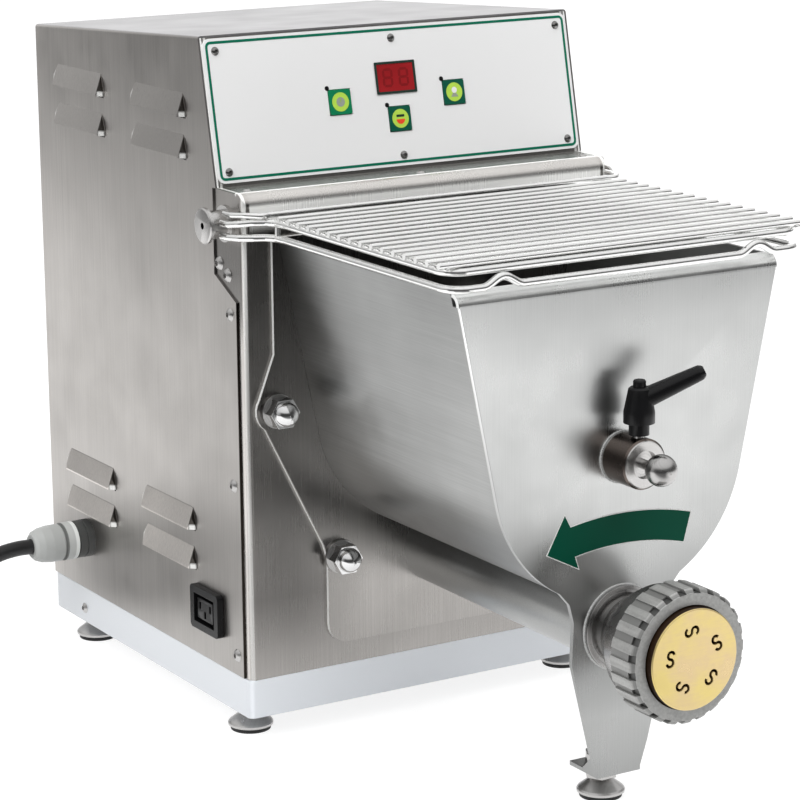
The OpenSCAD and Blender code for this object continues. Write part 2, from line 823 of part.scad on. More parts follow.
module stud_washers() {
    color([0.75, 0.75, 0.75]) machine() stud_places()
        translate([0, 0, flange_t]) ring(washer_r, stud_r + hole_gap, washer_t);
}

module acorn_nuts() {
    color([0.85, 0.85, 0.85]) machine() stud_places() translate([0, 0, flange_t + washer_t]) difference() {
        union() {
            cylinder(r = acorn_af / sqrt(3), h = 9, $fn = 6);
            cylinder(r = acorn_dome_r, h = acorn_len - acorn_dome_r);
            translate([0, 0, acorn_len - acorn_dome_r]) sphere(acorn_dome_r);
        }
        translate([0, 0, -1]) cylinder(r = stud_r + nut_play, h = stud_out + 1.2);
    }
}

// Snap-in outlet with an island of three slots, on the left side panel
module accessory_outlet() {
    color([0.08, 0.08, 0.08]) machine()
        translate([-cab_w / 2, outlet_y, outlet_z]) rotate([0, -90, 0]) rotate([0, 0, 90]) difference() {
            union() {
                rounded_plate(outlet_w, outlet_h, 4.5, 3);
                translate([-outlet_w / 2 + 3, -outlet_h / 2 + 3, -20])
                    cube([outlet_w - 6, outlet_h - 6, 20 + eps]);
            }
            difference() {
                translate([-13, -9, -12]) cube([26, 18, 20]);
                translate([-10, -6.5, -13]) cube([20, 13, 16.5]);
            }
            for (p = [[-6.5, -2], [6.5, -2], [0, 3]])
                translate([p.x - 1.1, p.y - 2.2, -9]) cube([2.2, 4.4, 16]);
        }
}

module cable_gland() {
    color([0.72, 0.73, 0.72]) machine()
        translate([-cab_w / 2, gland_y, gland_z]) rotate([0, -90, 0]) difference() {
            union() {
                translate([0, 0, -10]) cylinder(r = 8, h = 11);
                translate([0, 0, -sheet_t - 5]) cylinder(r = 22 / sqrt(3), h = 5, $fn = 6);
                rotate_extrude()
                    polygon([[0, 0], [gland_r, 0], [gland_r, 4.5], [gland_r - 0.8, 4.8],
                        [gland_r - 0.8, 5.4], [gland_r - 0.2, 5.7], [gland_r - 0.2, 10.3],
                        [gland_r - 1.2, 10.6], [gland_r - 1.2, 11.2], [gland_r, 11.5],
                        [gland_r, 19.5], [gland_r - 1.4, 19.8], [gland_r - 1.4, 21],
                        [gland_r - 0.3, 21.6], [gland_r - 0.3, gland_len - 12],
                        [gland_r - 1.2, gland_len - 6], [gland_r - 2.8, gland_len - 2],
                        [7.6, gland_len], [0, gland_len]]);
            }
            translate([0, 0, -12]) cylinder(r = cord_r + 0.2, h = gland_len + 20);
        }
}

module hinge_bushes() {
    color([0.6, 0.6, 0.6]) machine() both_sides()
        translate([wall_half - sheet_t - 2, hinge_y, hinge_z]) rotate([0, 90, 0]) difference() {
            union() {
                cylinder(r = bush_r, h = sheet_t + 3.2);
                cylinder(r = bush_r + 2.5, h = 2);
            }
            translate([0, 0, -1]) cylinder(r = hub_r + running_gap, h = 12);
        }
}

module lid_switch() {
    x = wall_half - sheet_t;
    color([0.1, 0.1, 0.12]) machine() translate([-x, 0, 0]) {
        translate([0, 10, 263]) cube([10, 29, 22]);
        translate([4, hinge_y - 4, 285 - eps]) cube([4, 8, hinge_z - cam_r - part_gap - 285]);
    }
}

module shaft_bearings() {
    color([0.66, 0.66, 0.68]) machine() for (z = [kneader_z, auger_z]) {
        translate([0, sheet_t, z]) rotate([-90, 0, 0]) ring(bearing_r, drive_r + running_gap, bearing_len);
        translate([0, bearing_plate_y - 4, z]) rotate([-90, 0, 0])
            ring(bearing_r, drive_r + running_gap, bearing_plate_t + 4);
    }
}

module bearing_plate() {
    color([0.5, 0.5, 0.5]) machine() difference() {
        union() {
            translate([-plate_half, bearing_plate_y, tray_floor_t])
                cube([2 * plate_half, bearing_plate_t, kneader_z + plate_over - tray_floor_t]);
            translate([-plate_half, bearing_plate_y, tray_floor_t])
                cube([2 * plate_half, plate_foot, bearing_plate_t]);
        }
        for (z = [kneader_z, auger_z])
            translate([0, bearing_plate_y - 1, z]) rotate([-90, 0, 0])
                cylinder(r = bearing_r, h = bearing_plate_t + 2);
    }
}

module gearbox() {
    y = bearing_plate_y + bearing_plate_t;
    color([0.55, 0.56, 0.58]) machine() difference() {
        union() {
            translate([0, y, auger_z]) rotate([-90, 0, 0]) cylinder(r = motor_r + 3, h = 6);
            translate([0, y, auger_z]) rotate([-90, 0, 0]) cylinder(r = gearbox_r, h = gearbox_len);
        }
        translate([0, y - 1, auger_z]) rotate([-90, 0, 0]) cylinder(r = drive_r + hole_gap, h = 42);
    }
}

module drive_motor() {
    y = bearing_plate_y + bearing_plate_t + gearbox_len;
    color([0.16, 0.17, 0.19]) machine() translate([0, y, auger_z]) rotate([-90, 0, 0]) {
        cylinder(r = motor_r, h = motor_len);
        for (a = [15:30:345])
            rotate(a) translate([motor_r - 1, -1.5, motor_rib_start]) cube([4, 3, motor_rib_len]);
        translate([0, 0, motor_len - eps]) cylinder(r = motor_r - 4, h = fan_cover_len);
    }
}

module motor_saddle() {
    y = bearing_plate_y + bearing_plate_t + gearbox_len + 4;
    top = auger_z - motor_r * 0.7;
    color([0.45, 0.45, 0.46]) machine() difference() {
        translate([-saddle_half, y, tray_floor_t]) cube([2 * saddle_half, saddle_t, top - tray_floor_t]);
        translate([0, y - 1, auger_z]) rotate([-90, 0, 0]) cylinder(r = motor_r, h = saddle_t + 4);
    }
}

module run_capacitor() {
    x = cab_w / 2 - capacitor_wall - capacitor_r;
    top = capacitor_len + 4;
    color([0.85, 0.85, 0.83]) machine() translate([x, capacitor_y, tray_floor_t]) {
        cylinder(r = capacitor_r, h = capacitor_len);
        translate([0, 0, capacitor_len - eps]) cylinder(r = capacitor_r - 4, h = 4);
        translate([-6, -1.5, top - 2 * eps]) cube([4, 3, 8]);
        translate([3, -1.5, top - 2 * eps]) cube([4, 3, 8]);
    }
}

module control_board() {
    z = -sheet_t - board_gap;
    press = -sheet_t - 1.5 - button_travel - part_gap;
    color([0.1, 0.35, 0.2]) machine() on_panel() {
        translate([-board_size.x / 2, board_v, z - board_size.z]) cube(board_size);
        button_places() translate([-4, -4, z - eps]) cube([8, 8, press - z + eps]);
        translate([-60, 20, z - 14]) cube([24, 30, 12.4 + eps]);
        translate([30, 24, z - 18]) cube([30, 24, 16.4 + eps]);
        translate([-12, display_v - 8, z - eps]) cube([24, 16, 8]);
    }
}

module board_standoffs() {
    color([0.7, 0.7, 0.7]) machine() on_panel()
        for (u = [-standoff_x, standoff_x], v = standoff_vs)
            translate([u, v, -sheet_t - board_gap]) cylinder(r = standoff_r, h = board_gap);
}

module terminal_block() {
    x = -cab_w / 2 + terminal_wall;
    color([0.85, 0.85, 0.8]) machine() translate([x, terminal_y, tray_floor_t]) difference() {
        cube(terminal_size);
        for (k = [0:4]) translate([5, 6 + 10 * k, terminal_size.z - 6]) cube([12, 5, 8]);
    }
}

module foot_places() {
    for (x = [-1, 1], y = [foot_front_y, foot_rear_y]) translate([x * foot_x, y, 0]) children(0);
    translate([0, -trough_reach + leg_foot_inset, 0]) children(0);
}

module foot_cones() {
    low = -foot_h + pad_t;
    color([0.75, 0.75, 0.75]) machine() foot_places() union() {
        rotate_extrude()
            polygon([[0, low], [foot_r - 1.4, low], [foot_r, low + 0.6], [foot_r, low + 2],
                [foot_r - 0.8, low + 3], [7.5, low + 7.4], [6.5, low + 8.2], [0, low + 8.2]]);
        translate([0, 0, low + 8]) cylinder(r = stud_r, h = spindle_len);
    }
}

module foot_pads() {
    color([0.08, 0.08, 0.08]) machine() foot_places()
        translate([0, 0, -foot_h]) cylinder(r = foot_r - 1.5, h = pad_t);
}

module foot_nuts() {
    color([0.75, 0.75, 0.75]) machine() {
        for (x = [-1, 1], y = [foot_front_y, foot_rear_y]) translate([x * foot_x, y, 0]) {
            translate([0, 0, -low_nut_h]) hex_nut(foot_nut_af, low_nut_h, stud_r + nut_play);
            translate([0, 0, tray_floor_t]) hex_nut(foot_nut_af, foot_nut_h, stud_r + nut_play);
        }
        translate([0, -trough_reach + leg_foot_inset, 0]) {
            translate([0, 0, leg_foot_z - leg_plate_t - foot_nut_h])
                hex_nut(foot_nut_af, foot_nut_h, stud_r + nut_play);
            translate([0, 0, leg_foot_z]) hex_nut(foot_nut_af, foot_nut_h, stud_r + nut_play);
        }
    }
}

module lid_grid() {
    color([0.78, 0.77, 0.76]) machine() for (i = [0:grid_wires - 1])
        translate([-grid_half, -grid_back - i * grid_pitch, grid_z]) rotate([0, 90, 0])
            cylinder(r = grid_d / 2, h = 2 * grid_half, $fn = 24);
}

// Points of a level wire: from a hinge hub, out of the side, round both front corners
function mirrored(p) = [for (q = p) [-q.x, q.y, q.z]];

function frame_side(z, front, hub_dz) = concat(
    [[hub_x - 3, hub_front, hinge_z + hub_dz], [hub_x - 3.4, hub_front - 8, hinge_z + hub_dz],
        [hub_x - 6, hub_front - 16, (z + hinge_z + hub_dz) / 2],
        [hub_x - 12, hub_front - 23, z], [frame_half + 5, -frame_back + 1, z],
        [frame_half + 1, -frame_back - 5, z], [frame_half, -frame_back - 14, z]],
    [for (c = corner(frame_half - frame_corner_r, -front + frame_corner_r, frame_corner_r, 0, -80, 5))
        [c.x, c.y, z]]);
function bump(x) =
    let (d = abs(abs(x) - bump_x)) d > bump_half ? 0 : bump_h * (1 + cos(180 * d / bump_half)) / 2;
function frame_run(z, front, rise) =
    [for (x = [frame_half - frame_corner_r:-4:4]) [x, -front, z + rise * bump(x)]];
function frame_path(z, front, rise, hub_dz) =
    let (half = concat(frame_side(z, front, hub_dz), frame_run(z, front, rise)))
    concat(half, reversed(mirrored(half)));
// The same wire with no points inside its straight front run
function plain_path(z, front, hub_dz) =
    let (half = frame_side(z, front, hub_dz))
    concat(half, reversed(mirrored(half)));

module lid_upper_frame() {
    color([0.76, 0.75, 0.74]) machine() {
        wire(plain_path(frame_top_z, frame_front, 2.5), frame_d / 2, wire_sides);
        hinge_wire = [[hub_x - 4, hub_front - 1.5, hinge_z + 8.2], [hub_x - 4.5, hub_front - 10, grid_z - 0.8],
            [hub_x - 8, hub_front - 19, grid_z], [hub_x - 15, hub_front - 27, grid_z],
            [frame_half + 3, -frame_back + 2, grid_z]];
        wire(concat(hinge_wire, reversed(mirrored(hinge_wire))), grid_d / 2, wire_sides);
    }
}

module lid_lower_frame() {
    color([0.76, 0.75, 0.74]) machine() {
        wire(frame_path(frame_low_z, low_frame_front, 1, -5), frame_d / 2, wire_sides);
        both_sides() translate([frame_half + 0.9, -frame_back - 6, frame_low_z + frame_d / 2 - 0.4])
            cylinder(r = 1.8, h = frame_top_z - frame_low_z - frame_d - 0.1);
    }
}

module lid_hubs() {
    color([0.74, 0.73, 0.72]) machine() both_sides()
        translate([cab_w / 2 - hub_in, hinge_y, hinge_z]) rotate([0, 90, 0]) difference() {
            union() {
                cylinder(r = hub_r, h = hub_in + hub_out);
                translate([0, 0, hub_in + hub_out - eps]) cylinder(r = disc_r, h = disc_t - 0.8);
                translate([0, 0, hub_in + hub_out + disc_t - 0.8 - 2 * eps])
                    cylinder(r1 = disc_r, r2 = disc_r - 0.8, h = 0.8);
            }
            translate([0, 0, hub_in + hub_out + disc_t - 2]) cylinder(r = 2, h = 4);
        }
}

module lid_cam() {
    color([0.85, 0.85, 0.82]) machine()
        translate([-cab_w / 2 + hub_in, hinge_y, hinge_z]) rotate([0, 90, 0]) {
            cylinder(r = hub_r - 0.5, h = 6);
            translate([cam_r - 4, 0, 0]) cylinder(r = 4, h = 6);
        }
}

// Radial bars with flat blades, turned a quarter from one to the next
module kneading_arm() {
    length = plate_back - part_gap - shaft_start;
    color([0.75, 0.75, 0.74]) machine() on_axis(kneader_z) difference() {
        union() {
            translate([0, 0, shaft_start]) cylinder(r = kneader_r, h = length);
            for (i = [0:len(arm_stations) - 1])
                translate([0, 0, arm_stations[i]]) rotate(45 + 90 * i) {
                    rotate([0, 90, 0]) cylinder(r = arm_r, h = arm_reach - 8);
                    translate([arm_reach - 16, -2.5, -blade_len / 2]) cube([14, 5, blade_len]);
                }
        }
        translate([0, 0, plate_back - part_gap - pin_depth - 2]) cylinder(r = pin_r + running_gap, h = 20);
    }
}

function gear_points(teeth) =
    let (r = gear_mod * teeth / 2, turn = 180 / PI,
        half = (PI * gear_mod / 2 - gear_backlash) / 2,
        tip_r = r + 0.9 * gear_mod, root_r = r - 1.2 * gear_mod,
        tip = (half - 0.9 * gear_mod * tan(20)) / r * turn,
        root = (half + 1.2 * gear_mod * tan(20)) / r * turn)
    [for (i = [0:teeth - 1]) let (a = 360 * i / teeth)
        each [[root_r, a - root], [tip_r, a - tip], [tip_r, a + tip], [root_r, a + root]]];

module spur_gear(teeth, turn) {
    difference() {
        union() {
            linear_extrude(gear_w) rotate(turn)
                polygon([for (p = gear_points(teeth)) [p.x * cos(p.y), p.x * sin(p.y)]]);
            translate([0, 0, -3]) cylinder(r = drive_r + 6, h = gear_w + 6);
        }
        translate([0, 0, -4]) cylinder(r = drive_r, h = gear_w + 8);
        for (a = [0:60:300]) rotate(a) translate([gear_mod * teeth / 4 + 4, 0, -1])
            cylinder(r = gear_mod * teeth * 0.085, h = gear_w + 2);
    }
}

module gear_place(z) {
    translate([0, gear_y, z]) rotate([-90, 0, 0]) children();
}

module kneader_gear() {
    color([0.7, 0.68, 0.6]) machine() gear_place(kneader_z) spur_gear(kneader_teeth, 90 + 180 / kneader_teeth);
}

module auger_gear() {
    color([0.7, 0.68, 0.6]) machine() gear_place(auger_z) spur_gear(auger_teeth, -90);
}

module kneader_shaft() {
    color([0.7, 0.7, 0.7]) machine() on_axis(kneader_z)
        translate([0, 0, -bearing_plate_y - bearing_plate_t - 6])
            cylinder(r = drive_r, h = bearing_plate_y + bearing_plate_t + 6 + shaft_start);
}

module auger_shaft() {
    color([0.7, 0.7, 0.7]) machine() on_axis(auger_z)
        translate([0, 0, -bearing_plate_y - bearing_plate_t - 36])
            cylinder(r = drive_r, h = bearing_plate_y + bearing_plate_t + 36 + shaft_start);
}

module auger_screw() {
    length = auger_end - shaft_start;
    flight_r = bore_r - auger_play;
    turns = length / auger_pitch;
    color([0.82, 0.82, 0.8]) machine() on_axis(auger_z) translate([0, 0, shaft_start])
        linear_extrude(height = length, twist = -360 * turns, slices = round(turns * 12), $fn = 12)
            union() {
                circle(core_r, $fn = 12);
                polygon(concat([[0, 0]], [for (a = [-30:15:30]) [flight_r * cos(a), flight_r * sin(a)]]));
            }
}

// Two joined arcs of one stroke width, an S about its middle
module s_slot() {
    outer = slot_curl_r + slot_w / 2;
    inner = slot_curl_r - slot_w / 2;
    for (h = [0, 180]) rotate(h) translate([0, slot_curl_r]) polygon(concat(
        [for (a = [18:18:270]) [outer * cos(a), outer * sin(a)]],
        [for (a = [270:-18:18]) [inner * cos(a), inner * sin(a)]]));
}

module brass_die() {
    color([0.86, 0.74, 0.42]) machine() on_axis(auger_z) difference() {
        rotate_extrude($fn = 96)
            polygon([[0, die_back + 2], [die_r - 5, die_back + 2], [die_r - 4, die_back],
                [die_flange_r, die_back], [die_flange_r, die_back + die_flange_t],
                [die_r, die_back + die_flange_t], [die_r, die_face - 0.6], [die_r - 0.6, die_face],
                [0, die_face]]);
        for (k = [0:slot_count - 1]) rotate(first_slot_a + 360 * k / slot_count)
            translate([slot_ring_r, 0, die_back]) linear_extrude(20) s_slot();
    }
}

module ring_nut() {
    gap_a = 180 / nut_teeth;
    gap_w = 1.8 * nut_r * sin(gap_a / 2);
    floor_r = nut_r - tooth_depth;
    color([0.6, 0.6, 0.59]) machine() on_axis(auger_z) difference() {
        rotate_extrude($fn = 96)
            polygon([[nut_bore_r, nut_back], [nut_r - 0.8, nut_back], [nut_r, nut_back + 0.8],
                [nut_r, nut_front - nut_chamfer], [nut_r - nut_chamfer, nut_front],
                [lip_hole_r, nut_front], [lip_hole_r, nut_land], [nut_bore_r, nut_land]]);
        for (k = [0:nut_teeth - 1]) rotate(360 * k / nut_teeth + gap_a) {
            translate([floor_r, -gap_w / 2, nut_back - 1])
                cube([tooth_depth + 2, gap_w, nut_len - pocket_len + 1]);
            translate([floor_r - pocket_depth, -gap_w / 2, nut_front - pocket_len])
                cube([tooth_depth + pocket_depth + 2, gap_w, pocket_len + 1]);
        }
    }
}

// Solid hub and tapering arm; the arm ends in a dimple
module clamp_lever() {
    color([0.06, 0.06, 0.06]) machine() translate([0, -lever_axis, lever_base_z]) {
        difference() {
            rotate_extrude()
                polygon([[0, 0], [5.75, 0], [5.75, 6.5], [8.8, 6.8], [8.8, 13], [6.2, 26], [5.2, 27],
                    [3.6, 27], [3.6, 30.2], [3, 31], [0, 31]]);
            translate([0, 0, -1]) cylinder(r = lever_stud_r, h = 6);
        }
        rotate(-lever_turn) translate([0, 0, 19]) rotate([0, 90 - lever_rise, 0]) difference() {
            rotate_extrude()
                polygon([[0, 0], [6, 0], [5.4, 14], [4.5, lever_len - 5], [4.3, lever_len - 2.4],
                    [3.4, lever_len - 0.8], [2.6, lever_len], [0, lever_len]]);
            translate([0, 0, lever_len - 1.2]) cylinder(r = 1.8, h = 3);
        }
    }
}

module lever_stud() {
    low = kneader_z + pin_r + 0.4;
    color([0.7, 0.7, 0.7]) machine() translate([0, -lever_axis, low])
        cylinder(r = lever_stud_r, h = lever_base_z + 5 - low);
}

module lock_pin() {
    inner = plate_back - part_gap - pin_depth;
    shoulder = trough_reach + boss_len - 2.6;
    color([0.78, 0.78, 0.77]) machine() on_axis(kneader_z) {
        translate([0, 0, inner]) cylinder(r = pin_r, h = shoulder - inner);
        translate([0, 0, shoulder - eps])
            cylinder(r = 2.8, h = trough_reach + ball_reach - ball_r - shoulder + 1);
    }
}

module pin_ball() {
    color([0.85, 0.85, 0.85]) machine() on_axis(kneader_z)
        translate([0, 0, trough_reach + ball_reach]) difference() {
            sphere(ball_r);
            translate([0, 0, -ball_r - 1]) cylinder(r = 2.8, h = 2);
        }
}

module mains_lead() {
    color([0.07, 0.07, 0.07]) wire(lead_points, cord_r, 8);
}

module lead_coil() {
    color([0.07, 0.07, 0.07]) translate([coil_at.x, coil_at.y, 0]) rotate_extrude($fn = 72)
        polygon([[coil_turn_r - coil_half_w, 3], [coil_turn_r - coil_half_w + 3, 0],
            [coil_turn_r + coil_half_w - 3, 0], [coil_turn_r + coil_half_w, 3],
            [coil_turn_r + coil_half_w, coil_h - 9], [coil_turn_r + coil_half_w - 7, coil_h],
            [coil_turn_r - coil_half_w + 7, coil_h], [coil_turn_r - coil_half_w, coil_h - 9]]);
}

module lead_tail() {
    color([0.07, 0.07, 0.07]) wire(tail_points, cord_r, 8);
}

module plug_relief() {
    color([0.07, 0.07, 0.07]) translate([plug_at.x - plug_relief_len, plug_at.y, plug_at.z])
        rotate([0, 90, 0]) cylinder(r1 = cord_r + 0.6, r2 = cord_r + 3.2, h = plug_relief_len);
}

module mains_plug() {
    color([0.07, 0.07, 0.07]) translate(plug_at) rotate([0, 90, 0]) {
        rotate_extrude() polygon([[0, 0], [9, 0], [14, 7], [plug_r, 14], [plug_r, plug_body_len - 1],
            [plug_r - 1, plug_body_len], [0, plug_body_len]]);
        for (s = [-1, 1]) translate([0, s * 9.5, plug_body_len - eps]) cylinder(r = 2.4, h = 19);
    }
}

base_tray();
cabinet_cover();
rear_panel();
front_wall();
control_panel();
label_plate();
display_window();
status_lights();
panel_screws();
cover_screws();
hopper_trough();
rear_flange();
front_plate();
auger_barrel();
outlet_head();
shaft_boss();
hopper_studs();
stud_washers();
acorn_nuts();
accessory_outlet();
cable_gland();
hinge_bushes();
lid_switch();
shaft_bearings();
bearing_plate();
gearbox();
drive_motor();
motor_saddle();
run_capacitor();
control_board();
board_standoffs();
terminal_block();
foot_cones();
foot_pads();
foot_nuts();
lid_grid();
lid_upper_frame();
lid_lower_frame();
lid_hubs();
lid_cam();
kneading_arm();
kneader_shaft();
kneader_gear();
auger_screw();
auger_shaft();
auger_gear();
brass_die();
ring_nut();
clamp_lever();
lever_stud();
lock_pin();
pin_ball();
start_button();
mode_button();
stop_button();
mains_lead();
lead_coil();
lead_tail();
plug_relief();
mains_plug();
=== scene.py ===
"""Finishes and fine detail of an electric pasta maker, laid out as a Blender add-on.

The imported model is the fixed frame, and each piece here is placed from its boxes. Lengths
are metres; MM turns a maker's millimetres into them.
"""

import json
import math

import bmesh
import bpy
from bpy.props import (
    BoolProperty,
    FloatProperty,
    FloatVectorProperty,
    IntProperty,
    PointerProperty,
)
from mathutils import Matrix, Vector


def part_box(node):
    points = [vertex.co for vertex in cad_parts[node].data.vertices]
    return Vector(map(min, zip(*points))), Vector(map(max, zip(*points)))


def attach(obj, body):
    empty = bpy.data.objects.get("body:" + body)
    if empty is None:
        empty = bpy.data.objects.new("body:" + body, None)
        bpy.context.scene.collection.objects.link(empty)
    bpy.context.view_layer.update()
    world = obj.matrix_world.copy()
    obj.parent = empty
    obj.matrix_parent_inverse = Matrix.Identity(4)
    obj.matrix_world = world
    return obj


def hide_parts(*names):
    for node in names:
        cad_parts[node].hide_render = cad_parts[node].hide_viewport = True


bl_info = {
    "name": "Electric pasta maker",
    "version": (1, 0, 0),
    "blender": (4, 5, 0),
    "location": "View3D > Sidebar > Pasta maker",
    "description": "Finishes and fine detail round the packed model of an electric pasta maker",
    "category": "Add Mesh",
}

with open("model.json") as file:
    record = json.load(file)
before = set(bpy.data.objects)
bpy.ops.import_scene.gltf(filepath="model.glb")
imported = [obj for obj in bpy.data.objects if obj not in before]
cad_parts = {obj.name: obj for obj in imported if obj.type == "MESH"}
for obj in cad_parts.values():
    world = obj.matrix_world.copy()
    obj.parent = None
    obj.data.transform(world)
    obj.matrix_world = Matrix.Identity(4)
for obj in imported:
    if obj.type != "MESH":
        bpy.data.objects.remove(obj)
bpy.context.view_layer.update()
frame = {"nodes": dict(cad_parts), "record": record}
NODES = frame["nodes"]
SLOT_OF = {part["node"]: part["material_slot"] for part in frame["record"]["subparts"]}
BODY_OF = {
    node: body
    for body, members in frame["record"]["behaviour"]["bodies"].items()
    for node in members
}
MM = 0.001


def centre_of(node):
    low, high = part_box(node)
    return (low + high) / 2


def front_of(node):
    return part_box(node)[0].y


def half_of(node):
    """Half the width of a node."""
    return centre_of(node).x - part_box(node)[0].x


WALL_Y, WALL_HALF = front_of("front_wall"), half_of("front_wall")
COVER_FRONT, COVER_HALF = front_of("cabinet_cover"), half_of("base_tray")
LEDGE_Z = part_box("front_wall")[1].z
TRAY_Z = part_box("base_tray")[0].z
GLAND_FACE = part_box("base_tray")[0].x
FLANGE_FACE = front_of("rear_flange")
PLATE_FACE = front_of("front_plate")
KNEADER_Z, BOSS_R = centre_of("shaft_boss").z, half_of("shaft_boss")
AUGER_Z = centre_of("brass_die").z
DIE_FACE, DIE_R = front_of("brass_die"), half_of("brass_die")
NUT_FACE, NUT_R = front_of("ring_nut"), half_of("ring_nut")


def in_metres(sizes):
    return [size * MM for size in sizes]


def at(x, y, z):
    """Millimetres from the middle, the front wall and the tray's underside, in the frame."""
    return Vector((x * MM, WALL_Y + y * MM, TRAY_Z + z * MM))


# ---------------------------------------------------------------- sizes and colours


def colour(name, about, value):
    return FloatVectorProperty(
        name=name, description=about, default=value, subtype="COLOR", size=3, min=0, max=1
    )


def length(name, about, millimetres):
    return FloatProperty(
        name=name, description=about, default=millimetres * MM, unit="LENGTH", min=0
    )


class PastaMakerFinishes(bpy.types.PropertyGroup):
    cabinet: colour("Cabinet", "Brushed stainless sheet of the cabinet", (0.50, 0.48, 0.46))
    plate: colour("Front plate", "Satin stainless plate", (0.91, 0.92, 0.91))
    bright: colour("Bright steel", "Turned and drawn stainless", (0.66, 0.65, 0.64))
    enamel: colour("Enamel", "White tray", (0.76, 0.79, 0.83))
    label: colour("Label", "Printed label film", (0.81, 0.81, 0.81))
    print_green: colour("Print green", "Dark green ink", (0.0, 0.085, 0.048))
    key_green: colour("Key green", "Brighter key film", (0.0, 0.19, 0.075))
    lime: colour("Lime", "Light discs on the keys", (0.45, 0.68, 0.08))
    lens: colour("Lens", "Dark red display window", (0.30, 0.011, 0.014))
    brass: colour("Brass", "Die", (0.86, 0.66, 0.31))
    casting: colour("Casting", "Grey ring nut", (0.40, 0.40, 0.39))
    nylon: colour("Nylon", "Cable gland", (0.42, 0.43, 0.42))
    black: colour("Black", "Moulded plastic and rubber", (0.012, 0.012, 0.013))


class PastaMakerWires(bpy.types.PropertyGroup):
    cross_count: IntProperty(
        name="Cross wires", description="Number of cross wires in the lid", default=16, min=2
    )
    cross_pitch: length("Pitch", "Distance between cross wires", 11.6)
    weld: length("Weld", "Height of the spot welds on the frame wire", 1.2)


class PastaMakerLead(bpy.types.PropertyGroup):
    lead_length: length("Length", "Mains lead from the gland to its plug", 1800)
    diameter: length("Diameter", "Thickness of the mains lead", 10)
    layer_rise: length("Layer rise", "Height of one layer of the coil over the next", 9.6)


class PastaMakerStage(bpy.types.PropertyGroup):
    lens: FloatProperty(name="Lens", description="Focal length", default=133.0, unit="CAMERA")
    floor_half: FloatProperty(
        name="Floor", description="Half the side of the floor", default=14.0, unit="LENGTH"
    )
    left_light: FloatProperty(
        name="Left light", description="Soft light on the left", default=28.0, unit="POWER"
    )
    top_light: FloatProperty(
        name="Top light", description="Soft light overhead", default=34.0, unit="POWER"
    )
    shadow_shows: BoolProperty(
        name="Floor shadow", description="The floor keeps the object's shadow", default=True
    )


def settings(group):
    return getattr(bpy.context.scene, "pasta_maker_" + group)


# ---------------------------------------------------------------- node trees

BLACK, WHITE = (0, 0, 0), (1, 1, 1)
# How far a window's edges fade, in metres
FADE = 0.0004


class Sock:
    """A node's output with Python arithmetic: each operator adds its Math node."""

    def __init__(self, tree, out):
        self.tree = tree
        self.out = out

    def maths(self, operation, *others):
        values = dict(enumerate((self,) + others))
        return self.tree.node("ShaderNodeMath", {"operation": operation}, values)

    def __add__(self, other):
        return self.maths("ADD", other)

    def __sub__(self, other):
        return self.maths("SUBTRACT", other)

    def __rsub__(self, other):
        return self.tree.node("ShaderNodeMath", {"operation": "SUBTRACT"}, {0: other, 1: self})

    def __mul__(self, other):
        return self.maths("MULTIPLY", other)

    def __truediv__(self, other):
        return self.maths("DIVIDE", other)

    def __pow__(self, other):
        return self.maths("POWER", other)

    __radd__ = __add__
    __rmul__ = __mul__


class Tree:
    """Adds nodes to a shader or geometry tree."""

    def __init__(self, tree):
        self.tree = tree

    def node(self, kind, fixed=None, values=None, out=0):
        """A node of one kind: its settings first, then the values or links of its sockets."""
        made = self.tree.nodes.new(kind)
        for key, setting in (fixed or {}).items():
            if key == "stops":
                ramp = made.color_ramp.elements
                while len(ramp) < len(setting):
                    ramp.new(1.0)
                for element, (place, tone) in zip(ramp, setting):
                    element.position = place
                    element.color = (tone, tone, tone, 1)
            else:
                setattr(made, key, setting)
        for key, value in (values or {}).items():
            if isinstance(value, Sock):
                self.tree.links.new(value.out, made.inputs[key])
            else:
                made.inputs[key].default_value = value
        return Sock(self, made.outputs[out])

    def output(self, sock, name):
        return Sock(self, sock.out.node.outputs[name])


